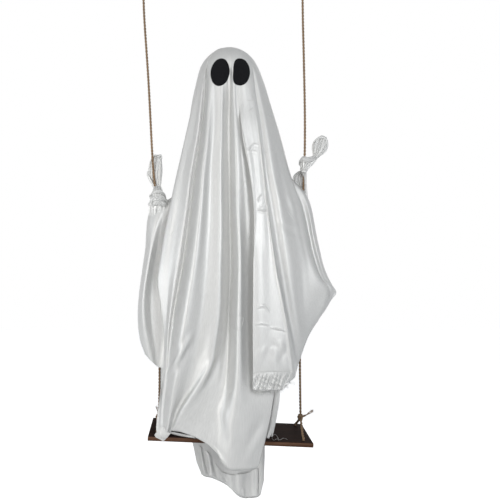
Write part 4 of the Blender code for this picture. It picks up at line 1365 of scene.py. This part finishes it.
def wrinkled(grid, across, down):
    """The sheet's grid with its ripples and creases; ripples fade at the hood and at sharp folds."""
    facing = grid_normals(grid)
    bend = np.minimum(*((facing * np.roll(facing, way, axis=1)).sum(axis=2) for way in (1, -1)))
    plain = LEAST_RIPPLE + (1 - LEAST_RIPPLE) * between(smoothed(bend, 4), *PLAIN_CLOTH)
    height = ripples(across, down) * (between(down, *HOOD_HEM) * plain)
    front = between(-grid[..., 1], *FRONT_SIDE)
    height += crease_relief(seen_at(grid), CREASES) * front
    return grid + facing * height[..., None]


def make_sheet():
    grid = sheet_grid()
    rows, columns = grid.shape[:2]
    round_steps = np.linalg.norm(np.roll(grid, -1, axis=1) - grid, axis=2).mean(axis=0)
    down_steps = np.linalg.norm(np.diff(grid, axis=0), axis=2).mean(axis=1)
    across = np.concatenate([[0], round_steps.cumsum()[:-1]])
    down = np.concatenate([[0], down_steps.cumsum()])
    across, down = np.broadcast_arrays(across[None], down[:, None])
    grid = wrinkled(grid, across, down)
    points = np.concatenate([grid[0, :1], grid[1:].reshape(-1, 3)])
    maps = np.stack([across, down], axis=-1)
    uv = np.concatenate([maps[0, :1], maps[1:].reshape(-1, 2)])
    crown = [(0, 1 + column, 1 + (column + 1) % columns) for column in range(columns)]
    sheet = new_satin("ghost_sheet_cloth", [(points, crown + quads(rows - 1, columns, 1), uv)])
    thicken(sheet)
    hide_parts("ghost_sheet")
    return sheet


# Upper layers of the cloth
def nearest_round(depth, reach):
    """The smallest depth within that many steps, so that the layer clears the cloth under it."""
    for axis in (0, 1):
        for _ in range(reach):
            depth = np.minimum.reduce(with_neighbours(depth, axis))
    return depth


def with_neighbours(depth, axis):
    """The values before, at and after each place of a grid; an edge repeats itself."""
    padded = np.concatenate([depth.take([0], axis), depth, depth.take([-1], axis)], axis)
    count = depth.shape[axis]
    return [padded.take(range(near, near + count), axis) for near in range(3)]


def smoothed(depth, times):
    for _ in range(times):
        for axis in (0, 1):
            before, here, after = with_neighbours(depth, axis)
            depth = (before + 2 * here + after) / 4
    return depth


def look_at(tree, places, behind=-1.0):
    """How far behind the ropes each place of the photo shows a surface.

    What lies no further back than behind doesn't count. A miss takes the nearest place's depth.
    """
    camera = Vector((CAMERA_IN_SEAT[0], -SEAT_FROM_CAMERA, CAMERA_IN_SEAT[1])) + SEAT_PLACE
    depth = np.full(places.shape[:-1], np.inf)
    for at in np.ndindex(depth.shape):
        x, y = (places[at] - MIDDLE_PIXEL) / FOCAL_PIXELS
        found = tree.ray_cast(camera, Vector((x, 1, -y)))[0]
        if found is not None and found.y > behind:
            depth[at] = found.y
    while np.isinf(depth).any():
        depth = np.where(np.isinf(depth), nearest_round(depth, 1), depth)
    return depth


def along_route(route, shares):
    """The places at these shares of the way along a route."""
    route = np.array(route, float)
    reached = distances(route)
    reached /= reached[-1]
    return np.stack([np.interp(shares, reached, route[:, axis]) for axis in (0, 1)], axis=-1)


def layer(name, edges, counts, tree, lift, relief, behind=-1.0):
    """One layer of cloth between two edges, lying on the sheet; relief gives its height."""
    rows, columns = counts
    downs = np.linspace(0, 1, rows)
    sides = np.linspace(0, 1, columns)[None, :, None]
    first, second = (along_route(edge, downs)[:, None] for edge in edges)
    places = first * (1 - sides) + second * sides
    depth = smoothed(nearest_round(look_at(tree, places, behind), 3), 6)
    down, side = np.broadcast_arrays(downs[:, None], sides[..., 0])
    depth = depth - lift - relief(places, down, side)
    points = shown_at(places, depth).reshape(-1, 3)
    piece = new_satin(name, [(points, quads(rows, columns, closed=False), points[:, ::2])])
    thicken(piece)
    return piece


def flap_relief(places, down, side):
    """The flap stands up at its far edge, waves a little and lies in at its hem."""
    height = crease_relief(places, SHARP_FOLDS)
    height += 0.0022 * between(side, 0.90, 1) + 0.0006 * between(side, 0.05, 0)
    height += 0.0006 * np.sin(side * 9 + down * 7) * between(down, 0.1, 0.3)
    return height * between(down, 0.02, 0.2) - 0.0016 * between(-down, -0.09, 0)


def strip_relief(places, down, side):
    """Small uneven gathers in the loosely sewn strip along the flap's hem."""
    x, y = places[..., 0], places[..., 1]
    lean = 0.35 * (y - 372)
    waves = np.sin((x + lean) * 1.3 + 1.2 * np.sin(x * 0.43)) + 0.6 * np.sin((x - lean) * 2.4 + 0.7)
    dark = -1.4 * np.exp(-(((x - 272 + 0.43 * (y - 374)) / 1.3) ** 2))
    return 0.0011 * (waves + dark) * between(down, 0, 0.35) + 0.0006


def rear_relief(places, down, side):
    return crease_relief(places, REAR_CREASES)


def ridge(tree, route, radius):
    """A sharp crease: a thin ridge over the cloth where the photo shows this route."""
    route = curve_through([(x, y, 0) for x, y in route], 8)[:, :2]
    depth = smoothed(look_at(tree, route[None]), 1)[0] + radius * RIDGE_SINK
    ends = np.sin(np.linspace(0.12, math.pi - 0.12, len(route)))
    return strand(shown_at(route, depth), radius * ends, 0.0, 6)


def tree_of(*pieces):
    """A search tree of the faces of these pieces."""
    points, faces = [], []
    for piece in pieces:
        start = len(points)
        points += [corner.co.copy() for corner in piece.data.vertices]
        faces += [tuple(start + corner for corner in face.vertices) for face in piece.data.polygons]
    return BVHTree.FromPolygons(points, faces)


def make_layers(sheet):
    """The flap, the rear pleats, the strip sewn along the flap's hem, and the sharp creases."""
    tree = tree_of(sheet)
    flap = layer("flap_layer", FLAP_EDGES, (400, 56), tree, LAYER_LIFT, flap_relief)
    rear = layer("rear_pleats", REAR_EDGES, (120, 44), tree, REAR_LIFT, rear_relief, REAR_BEHIND)
    under = tree_of(sheet, flap)
    strip = layer("flap_hem_strip", STRIP_EDGES, (30, 120), under, LAYER_LIFT, strip_relief)
    upper = tree_of(sheet, flap, strip)
    parts = [ridge(upper, route, RIDGE_RADIUS) for route, rise in SHARP_CREASES if rise > 0]
    starts = along_route(STITCH_ROUTE, np.linspace(0, 0.98, STITCH_COUNT))
    parts += [ridge(upper, ((x, y), (x + 0.5, y), (x + 1, y)), STITCH_RADIUS) for x, y in starts]
    return [flap, rear, strip, new_satin("sharp_creases", parts)]


# Eyes
def press_inner_side(eye):
    """The fold between the eyes presses the inner half of the right one nearly straight."""
    for corner in eye.data.vertices:
        if corner.co.x < 0:
            corner.co.x = -0.41 * math.tanh(-3.2 * corner.co.x) / math.tanh(1.6)


def make_eye(side, direction, sheet):
    bpy.ops.object.select_all(action="DESELECT")
    bpy.ops.mesh.primitive_circle_add(vertices=72, radius=0.5, fill_type="NGON")
    eye = bpy.context.active_object
    eye.name = f"{side}_felt_eye"
    bpy.ops.object.mode_set(mode="EDIT")
    for _ in range(EYE_RINGS):
        bpy.ops.mesh.inset(thickness=EYE_RING_STEP)
    bpy.ops.object.mode_set(mode="OBJECT")
    if side == "right":
        press_inner_side(eye)
    eye.scale = (EYE_WIDTH, EYE_HEIGHT, 1)
    bpy.ops.object.transform_apply(location=False, rotation=False, scale=True)
    eye.rotation_euler = (math.pi / 2, 0, 0)
    bpy.ops.object.transform_apply(location=False, rotation=True, scale=False)
    eye.rotation_euler = (0, EYE_LEAN, 0)
    place = Vector((direction * EYE_SPACING / 2, EYE_START_Y, CROWN_HEIGHT - EYE_DROP))
    eye.location = place + SEAT_PLACE
    bpy.ops.object.transform_apply(location=True, rotation=True, scale=False)
    wrap = eye.modifiers.new("on_the_sheet", "SHRINKWRAP")
    wrap.target = sheet
    wrap.wrap_method = "PROJECT"
    wrap.use_project_y = True
    wrap.use_positive_direction = True
    wrap.offset = EYE_THICKNESS
    body = eye.modifiers.new("felt", "SOLIDIFY")
    body.thickness = EYE_THICKNESS * 1.5
    body.offset = -1
    rounding = eye.modifiers.new("edge", "BEVEL")
    rounding.width = EYE_THICKNESS * 0.35
    rounding.segments = 2
    apply_modifiers(eye)
    bpy.ops.object.shade_smooth()
    eye.data.materials.append(FELT)
    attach(eye, "root")
    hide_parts(f"{side}_eye")


def finish_cad_pieces():
    finishes = {
        "seat_board": stained_wood(),
        "support_post": dowel_wood(),
        "post_screw": zinc(),
        "head_ball": foam(),
    }
    for name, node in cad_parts.items():
        finish = finishes.get(name, JUTE)
        for slot in node.material_slots:
            slot.material = finish
        if not node.material_slots:
            node.data.materials.append(finish)


make_camera()
make_cords()
make_surroundings()
cloth = make_sheet()
layers = make_layers(cloth)
hands = make_hands()
trim = make_trim()
for eye_side, eye_direction in (("left", -1), ("right", 1)):
    make_eye(eye_side, eye_direction, cloth)
finish_cad_pieces()
